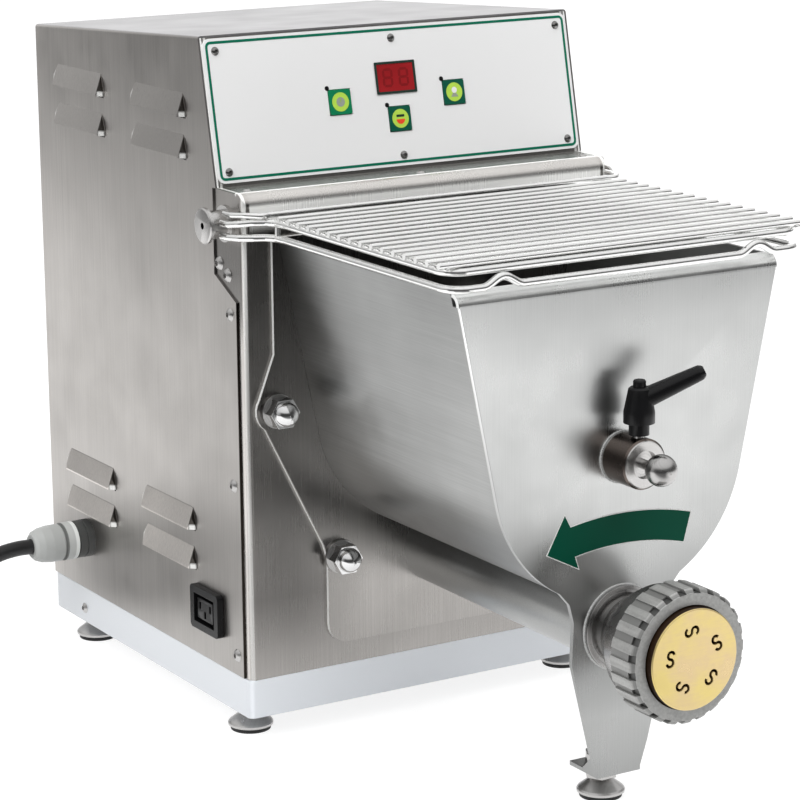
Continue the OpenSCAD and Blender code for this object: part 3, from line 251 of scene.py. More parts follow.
class Finish(Tree):
    """One material: a Principled shader with procedural patterns on object coordinates."""

    def __init__(self, name):
        self.material = bpy.data.materials.new(name)
        self.material.use_nodes = True
        super().__init__(self.material.node_tree)
        self.shader = self.tree.nodes["Principled BSDF"]
        self.place = self.node("ShaderNodeTexCoord", out="Object")

    @classmethod
    def of_tree(cls, tree):
        """The same helpers on a tree of its own, such as the world's."""
        made = cls.__new__(cls)
        Tree.__init__(made, tree)
        made.place = made.node("ShaderNodeTexCoord", out="Object")
        return made

    def set(self, **values):
        """Socket values of the shader, with _ for the spaces in their names."""
        for key, value in values.items():
            socket = self.shader.inputs[key.replace("_", " ").title().replace("Ior", "IOR")]
            if isinstance(value, Sock):
                self.tree.links.new(value.out, socket)
            elif socket.type == "RGBA":
                socket.default_value = (*value, 1)
            else:
                socket.default_value = value
        return self.material

    def stretched(self, scale, turn=(0, 0, 0)):
        values = {"Vector": self.place, "Scale": scale, "Rotation": turn}
        return self.node("ShaderNodeMapping", None, values)

    def noise(self, scale, detail=2.0, rough=0.5, where=None, distortion=0.0):
        values = {
            "Vector": where or self.place,
            "Scale": scale,
            "Detail": detail,
            "Roughness": rough,
            "Distortion": distortion,
        }
        return self.node("ShaderNodeTexNoise", None, values, "Fac")

    def band(self, value, low, high, to_low=0.0, to_high=1.0):
        """Value from low to high, brought to the range to_low to to_high and held there."""
        values = {"Value": value, 1: low, 2: high, 3: to_low, 4: to_high}
        return self.node("ShaderNodeMapRange", {"clamp": True}, values)

    def spread(self, noise, to_low=0.0, to_high=1.0):
        """The middle of a noise's range, where nearly all of it lies, as a band."""
        return self.band(noise, 0.3, 0.7, to_low, to_high)

    def window(self, value, low, high, fade=FADE):
        """One between low and high, nothing outside."""
        return self.band(value, low - fade, low) * self.band(value, high, high + fade, 1.0, 0.0)

    def past(self, value, edge, first, last, to_low=0.0, to_high=1.0):
        """A band between two distances past an edge, in millimetres."""
        return self.band(value, edge + first * MM, edge + last * MM, to_low, to_high)

    def strip(self, value, edge, first, last, fade=FADE):
        """A window between two distances past an edge, in millimetres."""
        return self.window(value, edge + first * MM, edge + last * MM, fade)

    def mix(self, factor, low, high):
        """Colour low to colour high."""
        values = {0: factor}
        for index, tone in ((6, low), (7, high)):
            values[index] = tone if isinstance(tone, Sock) else (*tone, 1)
        return self.node("ShaderNodeMix", {"data_type": "RGBA"}, values, 2)

    def tinted(self, factor, tone, low, high):
        """One colour, from low to high times as light."""
        return self.mix(factor, shade(tone, low), shade(tone, high))

    def times(self, low, high):
        """One colour multiplied by another or by a factor."""
        fixed = {"data_type": "RGBA", "blend_type": "MULTIPLY"}
        return self.node("ShaderNodeMix", fixed, {0: 1.0, 6: low, 7: high}, 2)

    def bump(self, height, strength, distance=0.0002):
        values = {"Height": height, "Strength": strength, "Distance": distance}
        return self.node("ShaderNodeBump", None, values)

    def axes(self):
        split = self.node("ShaderNodeSeparateXYZ", None, {0: self.place}, "X")
        return split, self.output(split, "Y"), self.output(split, "Z")

    def away(self):
        """Distance from the machine's middle plane."""
        return self.axes()[0].maths("ABSOLUTE")

    def radius(self, axis_z):
        """Distance from an axis that runs forward at height axis_z, or upright if None."""
        x, y, z = self.axes()
        across = y if axis_z is None else z - axis_z
        return (x * x + across * across) ** 0.5

    def by_height(self, stops):
        """Factor that runs through (height, factor) pairs from low to high."""
        low, high = stops[0][0], stops[-1][0]
        ramp = [((z - low) / (high - low), tone) for z, tone in stops]
        place = self.band(self.axes()[2], low, high)
        return self.node("ShaderNodeValToRGB", {"stops": ramp}, {0: place})


def shade(tone, factor):
    return tuple(channel * factor for channel in tone)


# ---------------------------------------------------------------- painted light of the sheets

# Painted shade: how dark each sheet is painted by height, where it mirrors darker things
WALL_PAINTED_SHADE = [(0.04, 0.60), (0.09, 0.34), (0.14, 0.44), (0.26, 0.38), (0.30, 0.36)]
FLANGE_PAINTED_SHADE = [(0.07, 0.58), (0.11, 0.60), (0.17, 0.40), (0.24, 0.27), (0.30, 0.20)]
RETURN_PAINTED_SHADE = [(0.245, 1.0), (0.27, 0.38), (0.29, 0.28), (0.306, 0.30), (0.316, 0.60)]
TROUGH_PAINTED_SHADE = [(0.10, 0.34), (0.15, 0.44), (0.19, 0.90), (0.24, 1.0), (0.30, 0.64)]
PLATE_PAINTED_SHADE = [(0.02, 0.38), (0.055, 0.47), (0.10, 0.31), (0.15, 0.53), (0.21, 0.73), (0.28, 1.0)]
# Painted light and shade on the sheets: roof, low louvres, louvre ends, cover edge and ledge
ROOF_PAINTED_SHADE = (0.44, 0.45, 0.48)
LOWER_LOUVRE_PAINTED_LIGHT = (0.92, 0.91, 0.90)
LOUVRE_END_PAINTED_SHADE = (0.10, 0.095, 0.09)
COVER_EDGE_PAINTED_SHADOW = (0.05, 0.045, 0.04)
LEDGE_PAINTED_SHADE = (0.22, 0.24, 0.22)
# Colour of the painted highlights
LIT_TONE = (0.95, 0.95, 0.93)
# Painted shade on the boss's outer wall
BOSS_WALL_PAINTED_SHADE = (0.17, 0.14, 0.125)

CABINET_D = 0.28
LOUVRE_FRONTS = (0.065, 0.177)
LOUVRE_MIDDLES = (0.367, 0.342, 0.111, 0.086)
LOUVRE_HALF_H = 0.007


def summed(parts):
    """Sum of node outputs."""
    total = 0.0
    for part in parts:
        total = part + total
    return total


def along_louvres(f, first, last, fade=FADE):
    """One in the same stretch of every louvre, in millimetres from its front end."""
    y = f.axes()[1]
    starts = [WALL_Y + front for front in LOUVRE_FRONTS]
    return summed(f.strip(y, s, first, last, fade) for s in starts)


def louvre_stands(f):
    """One where a louvre stands out of the side panel."""
    return f.past(f.away(), COVER_HALF, 0.05, 0.3)


def cover_painted_shade(f):
    """Painted light and shade: a duller, bluer roof, sides lighter toward the back and top,
    lighter low louvres, and dark louvre front ends and front edge.
    """
    _x, y, z = f.axes()
    back = f.band(y, WALL_Y, WALL_Y + CABINET_D)
    panel = back * 0.11 + back * back * f.band(z, 0.15, 0.42) * 0.34 + 0.53
    beside = f.past(f.away(), COVER_HALF, -1.2, -0.4)
    sheet = f.mix(beside, ROOF_PAINTED_SHADE, panel)
    stands = louvre_stands(f)
    sheet = f.mix(stands * f.band(z, 0.15, 0.25, 1.0, 0.0), sheet, LOWER_LOUVRE_PAINTED_LIGHT)
    edge = f.past(y, COVER_FRONT, 0.2, 0.7, 1.0, 0.0)
    sheet = f.mix(edge, sheet, COVER_EDGE_PAINTED_SHADOW)
    return f.mix(along_louvres(f, 0.0, 3.8) * stands, sheet, LOUVRE_END_PAINTED_SHADE)


def cover_painted_highlights(f):
    """Painted highlights: the foot of each louvre's front end and a line at its rear end."""
    z = f.axes()[2]
    ends = along_louvres(f, 1.2, 3.2, 0.0009)
    lines = along_louvres(f, 68.6, 70.0)
    low_edges = [TRAY_Z + middle - LOUVRE_HALF_H for middle in LOUVRE_MIDDLES]
    feet = summed(f.strip(z, low, 0.4, 2.4, 0.0014) for low in low_edges)
    return (ends * feet * 0.8 + lines * 0.5) * louvre_stands(f)


def wall_painted_shade(f):
    """Painted shade: front face, returns and ledge each darken with height in their own way."""
    _x, y, z = f.axes()
    bend = f.past(y, WALL_Y, 0.15, 1.2)
    side = f.past(f.away(), WALL_HALF, -0.6, -0.2)
    top = f.past(z, LEDGE_Z, -0.6, -0.2)
    ledge = top * f.past(y, WALL_Y, 6.5, 8)
    tone = f.mix(bend, f.by_height(WALL_PAINTED_SHADE), f.band(z, 0.10, 0.25, 0.55, 1.0))
    tone = f.mix(side, tone, f.by_height(RETURN_PAINTED_SHADE))
    return f.mix(ledge, tone, LEDGE_PAINTED_SHADE)


def wall_painted_highlights(f):
    """Painted highlights: a band under the ledge, a line on its edge, one down each corner bend.
    """
    _x, y, z = f.axes()
    away = f.away()
    band = f.past(z, LEDGE_Z, -24, -17)
    band = band * f.past(z, LEDGE_Z, -8.5, -5.5, 1.0, 0.15)
    band = band * f.past(away, WALL_HALF, -5.5, -4.5, 1.0, 0.0)
    line = f.strip(y, WALL_Y, 6.6, 7.8)
    line = line * f.past(z, LEDGE_Z, -2, -1)
    corner = f.strip(away, WALL_HALF, -2.6, -0.8)
    corner = corner * f.band(z, 0.20, 0.30, 0.35, 0.8)
    return band + line + corner


def panel_painted_highlights(f):
    """Painted highlights: bright edge lines beside the label."""
    away = f.away()
    outer = f.strip(away, WALL_HALF, -0.9, 0)
    return outer + f.strip(away, WALL_HALF, -3.6, -2.4) * 0.7


def painted_shade_by_height(stops):
    """Painted shade: a sheet's colour darkened by height alone."""
    return lambda f: f.by_height(stops)


def flange_painted_shade(f):
    """Painted shade, dark by height on its face alone; its edges stay bright."""
    edge = f.past(f.axes()[1], FLANGE_FACE, 0.15, 1.2)
    return f.mix(edge, f.by_height(FLANGE_PAINTED_SHADE), WHITE)


def flange_painted_highlight(f):
    # Painted highlight along the flange's edge
    return f.past(f.axes()[1], FLANGE_FACE, 0.15, 0.6)


def tray_painted_shade(f):
    """Painted shade: the tray's sides are duller than its front face."""
    return f.past(f.axes()[1], WALL_Y, 0.6, 2, 1.0, 0.79)


# ---------------------------------------------------------------- materials


def brushed_sheet(name, tone, axis=2, rough=0.34, streak=0.10, dull=None, pale=None):
    """Ground stainless: fine lines along one axis and broad clouds, with painted shade if given.

    Where painted highlights are given, narrow bends and bands catch the light whole."""
    f = Finish(name)
    grain = tuple(14.0 if index == axis else 1500.0 for index in range(3))
    lines = f.noise(1.0, 3.0, 0.6, f.stretched(grain))
    clouds = f.noise(9.0, 3.0, 0.55)
    patches = f.noise(28.0, 2.0, 0.5)
    darkest, palest, blotch = 0.55, 1.15, 0.08
    light = f.band(lines, 0.25, 0.75, 1 - streak, 1 + streak)
    light = light * f.spread(clouds, 1 - blotch, 1 + blotch)
    share = (light - darkest) / (palest - darkest)
    ground = f.tinted(share, tone, darkest, palest)
    # Painted shade, where given
    if dull is not None:
        ground = f.times(ground, dull(f))
    metallic = 1.0
    # Painted highlights, where given: a light colour with less metal
    if pale is not None:
        lit = pale(f)
        metallic = f.band(lit, 0.0, 1.0, 1.0, 0.2)
        ground = f.mix(lit, ground, LIT_TONE)
    wear = f.band(patches, 0.3, 0.8, rough - 0.04, rough + 0.07) + (lines - 0.5) * 0.10
    return f.set(
        base_color=ground,
        metallic=metallic,
        roughness=wear,
        normal=f.bump(lines, 0.07, 0.00012),
    )


def turned_metal(name, tone, axis_z=None, rough=0.24, dark_beyond=None):
    """Lathe marks round an axis that runs forward at height axis_z, or upright if None."""
    f = Finish(name)
    _x, y, z = f.axes()
    radius = f.radius(axis_z)
    pitch = 1500.0
    rings = f.node(
        "ShaderNodeTexNoise",
        {"noise_dimensions": "1D"},
        {"W": (radius + (z if axis_z is None else y)) * pitch, "Scale": 1.0, "Detail": 2.0},
        "Fac",
    )
    clouds = f.noise(45.0, 2.0)
    ground = f.tinted(f.spread(rings * 0.6 + clouds * 0.4), tone, 0.82, 1)
    # Painted shade on the outer wall, where given, clear of the rim at the plate
    if dark_beyond is not None:
        wall = f.past(radius, dark_beyond, 0, 0.4)
        wall = wall * f.past(y, PLATE_FACE, -2.2, -1.6, 1.0, 0.0)
        ground = f.mix(wall, ground, BOSS_WALL_PAINTED_SHADE)
    return f.set(
        base_color=ground,
        metallic=1.0,
        roughness=f.spread(clouds, rough - 0.04, rough + 0.08),
        normal=f.bump(rings, 0.12, 0.00015),
    )


def die_metal(name, tone):
    """Used brass: a blotched and lightly scratched face, with painted shade round its side."""
    f = Finish(name)
    clouds = f.noise(38.0, 3.0, 0.6)
    scratches = f.noise(1.0, 2.0, 0.6, f.stretched((120.0, 1.0, 700.0), (0, 0.5, 0)))
    side = f.past(f.axes()[1], DIE_FACE, 0.4, 0.7)
    rim = f.band(f.radius(AUGER_Z), DIE_R * 0.72, DIE_R * 0.74)
    light = f.band(clouds * 0.85 + scratches * 0.15, 0.38, 0.62)
    red, green, blue = tone
    face = f.mix(light, (red * 0.86, green * 0.86, blue), (red, green * 1.05, blue * 0.88))
    # Painted shade round the side: brown in the slots, near black outside them
    slot_painted_shade, outer_painted_shade = (0.22, 0.13, 0.04), (0.03, 0.014, 0.006)
    return f.set(
        base_color=f.mix(side, face, f.mix(rim, slot_painted_shade, outer_painted_shade)),
        metallic=f.band(side, 0.0, 1.0, 0.85, 0.6),
        roughness=f.spread(clouds, 0.26, 0.42),
        normal=f.bump(scratches, 0.08, 0.0001),
    )


def nut_metal(name, tone):
    """Cast ring nut: painted shade in its gaps, darker in the pockets at their front end."""
    f = Finish(name)
    radius = f.radius(AUGER_Z)
    behind = f.past(f.axes()[1], NUT_FACE, 0.2, 0.6)
    # Painted shade in the gaps and, darker, in the pockets
    gap = f.past(radius, NUT_R, -1.0, -0.4, 1.0, 0.0) * behind
    pocket = f.past(radius, NUT_R, -2.2, -1.6, 1.0, 0.0) * behind
    grain = f.noise(700.0, 4.0, 0.65)
    clouds = f.noise(55.0, 3.0)
    streaks = f.noise(1.0, 2.0, 0.6, f.stretched((420.0, 30.0, 420.0)))
    light = f.band(grain * 0.3 + clouds * 0.3 + streaks * 0.4, 0.35, 0.65)
    ground = f.tinted(light, tone, 0.75, 1.2)
    ground = f.mix(gap, ground, shade(tone, 0.62))
    return f.set(
        base_color=f.mix(pocket, ground, shade(tone, 0.26)),
        metallic=0.5,
        roughness=f.spread(clouds, 0.36, 0.52),
        normal=f.bump(grain, 0.18, 0.0003),
    )


def polished(name, tone, rough=0.07):
    """Chrome: nearly clean, with faint smears."""
    f = Finish(name)
    smear = f.noise(60.0, 3.0, 0.6, distortion=0.6)
    return f.set(
        base_color=f.tinted(smear, tone, 0.9, 1),
        metallic=1.0,
        roughness=f.band(smear, 0.4, 0.8, rough, rough + 0.10),
        normal=f.bump(f.noise(350.0), 0.02),
    )


def moulded(name, tone, rough=0.42, grain=900.0, depth=0.10, spread=0.25, coat=0.0, gloss=0.5):
    """Moulded plastic or rubber: fine spark texture and slight cloudiness."""
    f = Finish(name)
    fine = f.noise(grain, 2.0)
    clouds = f.noise(30.0, 2.0)
    return f.set(
        base_color=f.tinted(f.spread(clouds), tone, 1 - spread, 1 + spread),
        roughness=f.spread(clouds, rough - 0.05, rough + 0.08),
        normal=f.bump(fine, depth, 0.00025),
        coat_weight=coat,
        coat_roughness=0.15,
        specular_ior_level=gloss,
    )


# Collar, rim and groove of the gland: first and last millimetre from the panel, and tone
GLAND_RINGS = ((18.6, 11.2, 1.25), (13.8, 11.2, 1.9), (20.4, 19.2, 0.40))


def gland_plastic(name, tone):
    """Grey nylon in lighter and darker bands, darkest on the locking ring next to the panel."""
    f = Finish(name)
    x = f.axes()[0]
    clouds = f.noise(30.0, 2.0)
    ground = f.tinted(clouds, tone, 0.94, 1.06)
    for first, last, factor in GLAND_RINGS:
        ring = f.strip(x, GLAND_FACE, -first, -last)
        ground = f.mix(ring, ground, shade(tone, factor))
    lock_ring = f.past(x, GLAND_FACE, -11.0, -10.7)
    return f.set(
        base_color=f.mix(lock_ring, ground, shade(tone, 0.16)),
        roughness=f.spread(clouds, 0.35, 0.48),
        normal=f.bump(f.noise(700.0, 2.0), 0.06, 0.00025),
    )


def enamelled(name, tone, rough=0.22, peel=0.06, spread=0.02, lift=None):
    """Stoved paint: slight orange peel under a clear gloss."""
    f = Finish(name)
    clouds = f.noise(8.0, 2.0)
    ground = f.tinted(clouds, tone, 1 - spread, 1 + spread)
    # Painted shade on some faces, where given
    if lift is not None:
        ground = f.times(ground, lift(f))
    return f.set(
        base_color=ground,
        roughness=f.spread(clouds, rough - 0.04, rough + 0.06),
        normal=f.bump(f.noise(260.0, 1.0), peel, 0.0004),
        coat_weight=0.35,
        coat_roughness=0.12,
    )


def cast_metal(name, tone, rough):
    """Tumbled casting: fine grain, soft blotches, slightly polished high spots."""
    f = Finish(name)
    grain = f.noise(700.0, 4.0, 0.65)
    clouds = f.noise(55.0, 3.0)
    light = f.band(grain * 0.5 + clouds * 0.5, 0.35, 0.65)
    return f.set(
        base_color=f.tinted(light, tone, 0.80, 1.15),
        metallic=0.55,
        roughness=f.spread(clouds, rough - 0.08, rough + 0.08),
        normal=f.bump(grain, 0.22, 0.0003),
    )


def ink(name, tone, rough=0.38, gloss=0.5):
    """Printed or cut film: even colour with a faint weave of the screen."""
    f = Finish(name)
    screen = f.noise(1400.0, 1.0)
    clouds = f.noise(40.0, 2.0)
    return f.set(
        base_color=f.tinted(clouds * 0.6 + screen * 0.4, tone, 0.90, 1.10),
        roughness=f.spread(clouds, rough - 0.04, rough + 0.05),
        normal=f.bump(screen, 0.04, 0.0001),
        specular_ior_level=gloss,
    )


def board_laminate(name):
    """Circuit board: solder mask with tracks."""
    f = Finish(name)
    tracks = f.node(
        "ShaderNodeTexVoronoi",
        {"distance": "CHEBYCHEV"},
        {"Vector": f.place, "Scale": 260.0},
        "Distance",
    )
    line = f.band(tracks, 0.42, 0.50)
    return f.set(
        base_color=f.mix(line, (0.01, 0.10, 0.04), (0.05, 0.28, 0.12)),
        roughness=f.band(line, 0.0, 1.0, 0.45, 0.25),
        normal=f.bump(line, 0.1),
    )


def by(maker, *values, **options):
    """The maker with all but the material's name given."""
    return lambda name: maker(name, *values, **options)


def material_makers():
    """The function that makes each finish, by its name."""
    tones = settings("finishes")
    cabinet, plate, bright = tones.cabinet, tones.plate, tuple(tones.bright)
    black, green = tones.black, tones.print_green
    wall = shade(cabinet, 1.3)
    return {
        # Painted shade and highlights enter through the patterns given to the sheets, the tray
        # and the boss
        "tray_paint": by(enamelled, shade(tones.enamel, 1.18), lift=tray_painted_shade),
        "cabinet_steel": by(brushed_sheet, shade(cabinet, 1.6), dull=cover_painted_shade, pale=cover_painted_highlights),
        "panel_steel": by(brushed_sheet, shade(cabinet, 0.8), pale=panel_painted_highlights),
        "rear_steel": by(brushed_sheet, cabinet),
        "wall_steel": by(brushed_sheet, wall, rough=0.26, dull=wall_painted_shade, pale=wall_painted_highlights),
        "flange_steel": by(brushed_sheet, wall, rough=0.26, dull=flange_painted_shade, pale=flange_painted_highlight),
        "barrel_steel": by(brushed_sheet, shade(plate, 0.46), axis=0),
        "trough_steel": by(brushed_sheet, shade(plate, 0.55), axis=1, dull=painted_shade_by_height(TROUGH_PAINTED_SHADE)),
        "plate_steel": by(brushed_sheet, plate, rough=0.30, streak=0.05, dull=painted_shade_by_height(PLATE_PAINTED_SHADE)),
        "weld_steel": by(cast_metal, shade(plate, 0.6), 0.3),
        "turned_steel": by(turned_metal, bright, KNEADER_Z),
        "boss_steel": by(turned_metal, bright, KNEADER_Z, dark_beyond=BOSS_R - 1.2 * MM),
        "head_steel": by(turned_metal, shade(bright, 0.75), AUGER_Z),
        "bearing_steel": by(turned_metal, shade(bright, 0.8), AUGER_Z, 0.3),
        "ball_steel": by(turned_metal, shade(bright, 0.85), rough=0.22),
        "zinc_steel": by(turned_metal, shade(bright, 0.9), rough=0.3),
        "dark_zinc": by(turned_metal, shade(bright, 0.45), rough=0.2),
        "chrome_plate": by(polished, (0.80, 0.80, 0.80)),
        "wire_steel": by(polished, (0.98, 0.98, 0.97), 0.20),
        "die_brass": by(die_metal, tones.brass),
        "nut_aluminium": by(nut_metal, tones.casting),
        "gearcase_aluminium": by(cast_metal, (0.42, 0.43, 0.44), 0.42),
        "bracket_steel": by(enamelled, (0.13, 0.13, 0.14), 0.45),
        "motor_paint": by(enamelled, (0.02, 0.022, 0.028), 0.35),
        "label_film": by(enamelled, tones.label, 0.40, 0.02, 0.012),
        "display_lens": by(moulded, tones.lens, 0.16, 300.0, 0.01, 0.12, 0.5),
        "black_plastic": by(moulded, shade(black, 0.5), 0.26, gloss=0.25),
        "white_plastic": by(moulded, (0.66, 0.66, 0.62), 0.4, 900.0, 0.06, 0.05),
        "black_rubber": by(moulded, black, 0.60, 1200.0, 0.2),
        "cord_rubber": by(moulded, black, 0.48, 1500.0, 0.15),
        "gland_two_tone": by(gland_plastic, tones.nylon),
        "circuit_board": board_laminate,
        "button_plastic": by(ink, green, 0.32),
        "key_ink": by(ink, tones.key_green, 0.32),
        "border_ink": by(ink, shade(green, 1.6), 0.45, 0.25),
        "arrow_ink": by(ink, shade(green, 0.8), 0.55, 0.12),
        "lime_ink": by(ink, tones.lime),
        "dark_ink": by(ink, (0.010, 0.030, 0.022)),
        "red_ink": by(ink, (0.80, 0.07, 0.02)),
        "grey_ink": by(ink, (0.30, 0.33, 0.28)),
        "pale_ink": by(ink, (0.80, 0.80, 0.78)),
        "segment_red": by(ink, (0.21, 0.009, 0.011), 0.2),
    }


def finish(name):
    """The finish of that name, made once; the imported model's own materials go unused."""
    label = name + "_finish"
    return bpy.data.materials.get(label) or material_makers()[name](label)


# ---------------------------------------------------------------- outlines and solids


def polar(radius, degrees):
    a = math.radians(degrees)
    return radius * math.cos(a), radius * math.sin(a)


def arc(radius, first, last, steps, centre=(0, 0)):
    """Points from one angle to another in degrees, both included."""
    spots = [polar(radius, first + (last - first) * k / steps) for k in range(steps + 1)]
    return [(centre[0] + x, centre[1] + y) for x, y in spots]


def disc_outline(radius, steps, centre=(0, 0)):
    return arc(radius, 0, 360, steps, centre)[:-1]


def rounded_outline(width, height, radius, steps=6):
    points = []
    for quarter, (sx, sy) in enumerate(((1, 1), (-1, 1), (-1, -1), (1, -1))):
        centre = (sx * (width / 2 - radius), sy * (height / 2 - radius))
        points += arc(radius, 90 * quarter, 90 * quarter + 90, steps, centre)
    return points


def drawn_in(outline, inset):
    """A closed outline with every side moved in, corners mitred."""
    points = [Vector(p) for p in outline]
    area = sum(a.cross(b) for a, b in zip(points, points[1:] + points[:1]))
    side = math.copysign(inset, area)
    sharpest = 0.6
    made = []
    for k, point in enumerate(points):
        before = (point - points[k - 1]).normalized()
        after = (points[(k + 1) % len(points)] - point).normalized()
        inward = Vector((-before.y - after.y, before.x + after.x))
        reach = 2 * side / max(inward.length_squared, sharpest)
        made.append(tuple(point + inward * reach))
    return made


def prism(outline, thickness, matrix):
    """A flat outline given a thickness."""
    count = len(outline)
    verts = [matrix @ Vector((x, y, z)) for z in (0, thickness) for x, y in outline]
    faces = [list(range(count - 1, -1, -1)), list(range(count, 2 * count))]
    for k in range(count):
        n = (k + 1) % count
        faces.append([k, n, count + n, count + k])
    return verts, faces


def frame_prism(outer, inner, thickness, matrix):
    """A flat ring between two outlines with as many points, given a thickness."""
    flat = outer + inner
    verts = [matrix @ Vector((x, y, z)) for z in (0, thickness) for x, y in flat]
    count = len(outer)
    a, b, c, d = 0, count, 2 * count, 3 * count
    faces = []
    for k in range(count):
        n = (k + 1) % count
        faces.append([a + k, b + k, b + n, a + n])
        faces.append([c + k, c + n, d + n, d + k])
        faces.append([a + k, a + n, c + n, c + k])
        faces.append([b + k, d + k, d + n, b + n])
    return verts, faces


def revolve(profile, steps, matrix):
    """Profile of (radius, height) pairs turned about its height axis."""
    rings, verts, faces = [], [], []
    for radius, height in profile:
        count = steps if radius else 1
        rings.append([len(verts) + k % count for k in range(steps)])
        spots = [polar(radius, 360 * k / steps) for k in range(count)]
        verts += [matrix @ Vector((x, y, height)) for x, y in spots]
    for low, high in zip(rings, rings[1:]):
        for k in range(steps):
            n = (k + 1) % steps
            face = list(dict.fromkeys((low[k], low[n], high[n], high[k])))
            if len(face) > 2:
                faces.append(face)
    return verts, faces


def joined(parts):
    """Several vertex and face lists as one."""
    verts, faces = [], []
    for more_verts, more_faces in parts:
        faces.extend([[i + len(verts) for i in face] for face in more_faces])
        verts.extend(more_verts)
    return verts, faces


# ---------------------------------------------------------------- meshes and pieces


def mesh_from(name, verts, faces):
    mesh = bpy.data.meshes.new(name)
    mesh.from_pydata([tuple(v) for v in verts], [], faces)
    mesh.validate()
    return mesh


def line_mesh(name, points, closed=False):
    edges = [(k, k + 1) for k in range(len(points) - 1)]
    if closed:
        edges.append((len(points) - 1, 0))
    mesh = bpy.data.meshes.new(name)
    mesh.from_pydata([tuple(p) for p in points], edges, [])
    return mesh


def one_mesh(name, meshes):
    """Several plain meshes as one."""
    bm = bmesh.new()
    for mesh in meshes:
        bm.from_mesh(mesh)
    made = bpy.data.meshes.new(name)
    bm.to_mesh(made)
    bm.free()
    return made


def smooth_up_to(mesh, degrees):
    mesh.polygons.foreach_set("use_smooth", [True] * len(mesh.polygons))
    mesh.set_sharp_from_angle(angle=math.radians(degrees))


def tidy_mesh(mesh, degrees=35.0, merge=1e-6):
    """Merged, outward, smooth up to an angle."""
    bm = bmesh.new()
    bm.from_mesh(mesh)
    bmesh.ops.remove_doubles(bm, verts=bm.verts, dist=merge)
    bmesh.ops.recalc_face_normals(bm, faces=bm.faces)
    bm.to_mesh(mesh)
    bm.free()
    smooth_up_to(mesh, degrees)
    return mesh


def linked(name, data):
    """A new object of the scene, at the origin."""
    obj = bpy.data.objects.new(name, data)
    bpy.context.scene.collection.objects.link(obj)
    return obj


def dress(obj, material):
    obj.data.materials.clear()
    obj.data.materials.append(finish(material))


def add_piece(name, mesh, material, body, stands_for=()):
    """A finished mesh at the origin that rides on a body."""
    obj = linked(name, mesh)
    dress(obj, material)
    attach(obj, body)
    if stands_for:
        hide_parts(*stands_for)


def add_solid(name, parts, material, body):
    """A piece of one or more vertex and face lists."""
    add_piece(name, tidy_mesh(mesh_from(name, *joined(parts))), material, body)


def plain_mesh(obj):
    """The evaluated mesh of an object, for use without its modifiers."""
    graph = bpy.context.evaluated_depsgraph_get()
    return bpy.data.meshes.new_from_object(obj.evaluated_get(graph))


def softened(node, width, flat):
    """A copy of a node with its edges broken, which stands for the node."""
    crease = 30.0
    mesh = NODES[node].data.copy()
    bm = bmesh.new()
    bm.from_mesh(mesh)
    bmesh.ops.remove_doubles(bm, verts=bm.verts, dist=2e-6)
    bmesh.ops.dissolve_limit(
        bm,
        angle_limit=math.radians(1.0),
        verts=bm.verts,
        edges=bm.edges,
        use_dissolve_boundaries=False,
    )
    bm.to_mesh(mesh)
    bm.free()
    smooth_up_to(mesh, crease)
    obj = linked(node + "_finished", mesh)
    bevel = obj.modifiers.new("broken_edges", "BEVEL")
    bevel.width = width
    bevel.segments = 2
    bevel.limit_method = "ANGLE"
    bevel.angle_limit = math.radians(crease)
    bevel.harden_normals = not flat
    bevel.use_clamp_overlap = True
    dress(obj, SPECIAL.get(node, SLOT_OF[node]))
    made = plain_mesh(obj)
    obj.modifiers.clear()
    obj.data = made
    if flat:
        made.polygons.foreach_set("use_smooth", [False] * len(made.polygons))
    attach(obj, BODY_OF[node])
    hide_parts(node)


def panel_axes():
    """The control panel's frame: X across, Y up its slope, Z out of it, on the label's face."""
    mesh = NODES["label_plate"].data
    facing = [p for p in mesh.polygons if p.normal.y < -0.5 and p.normal.z > 0.05]
    face = max(facing, key=lambda p: p.area)
    out = face.normal.copy()
    across = Vector((1, 0, 0))
    up = out.cross(across)
    origin = centre_of("label_plate")
    origin += out * (mesh.vertices[face.vertices[0]].co - origin).dot(out)
    turn = Matrix((across, up, out)).transposed().to_4x4()
    return Matrix.Translation(origin) @ turn


def on_panel(node):
    """The panel's frame moved to the outer face of a node on the panel."""
    axes = panel_axes()
    back = axes.inverted()
    corners = [back @ v.co for v in NODES[node].data.vertices]
    middle = [(min(c[i] for c in corners) + max(c[i] for c in corners)) / 2 for i in (0, 1)]
    top = max(c.z for c in corners)
    return axes @ Matrix.Translation((middle[0], middle[1], top))


# ---------------------------------------------------------------- geometry nodes


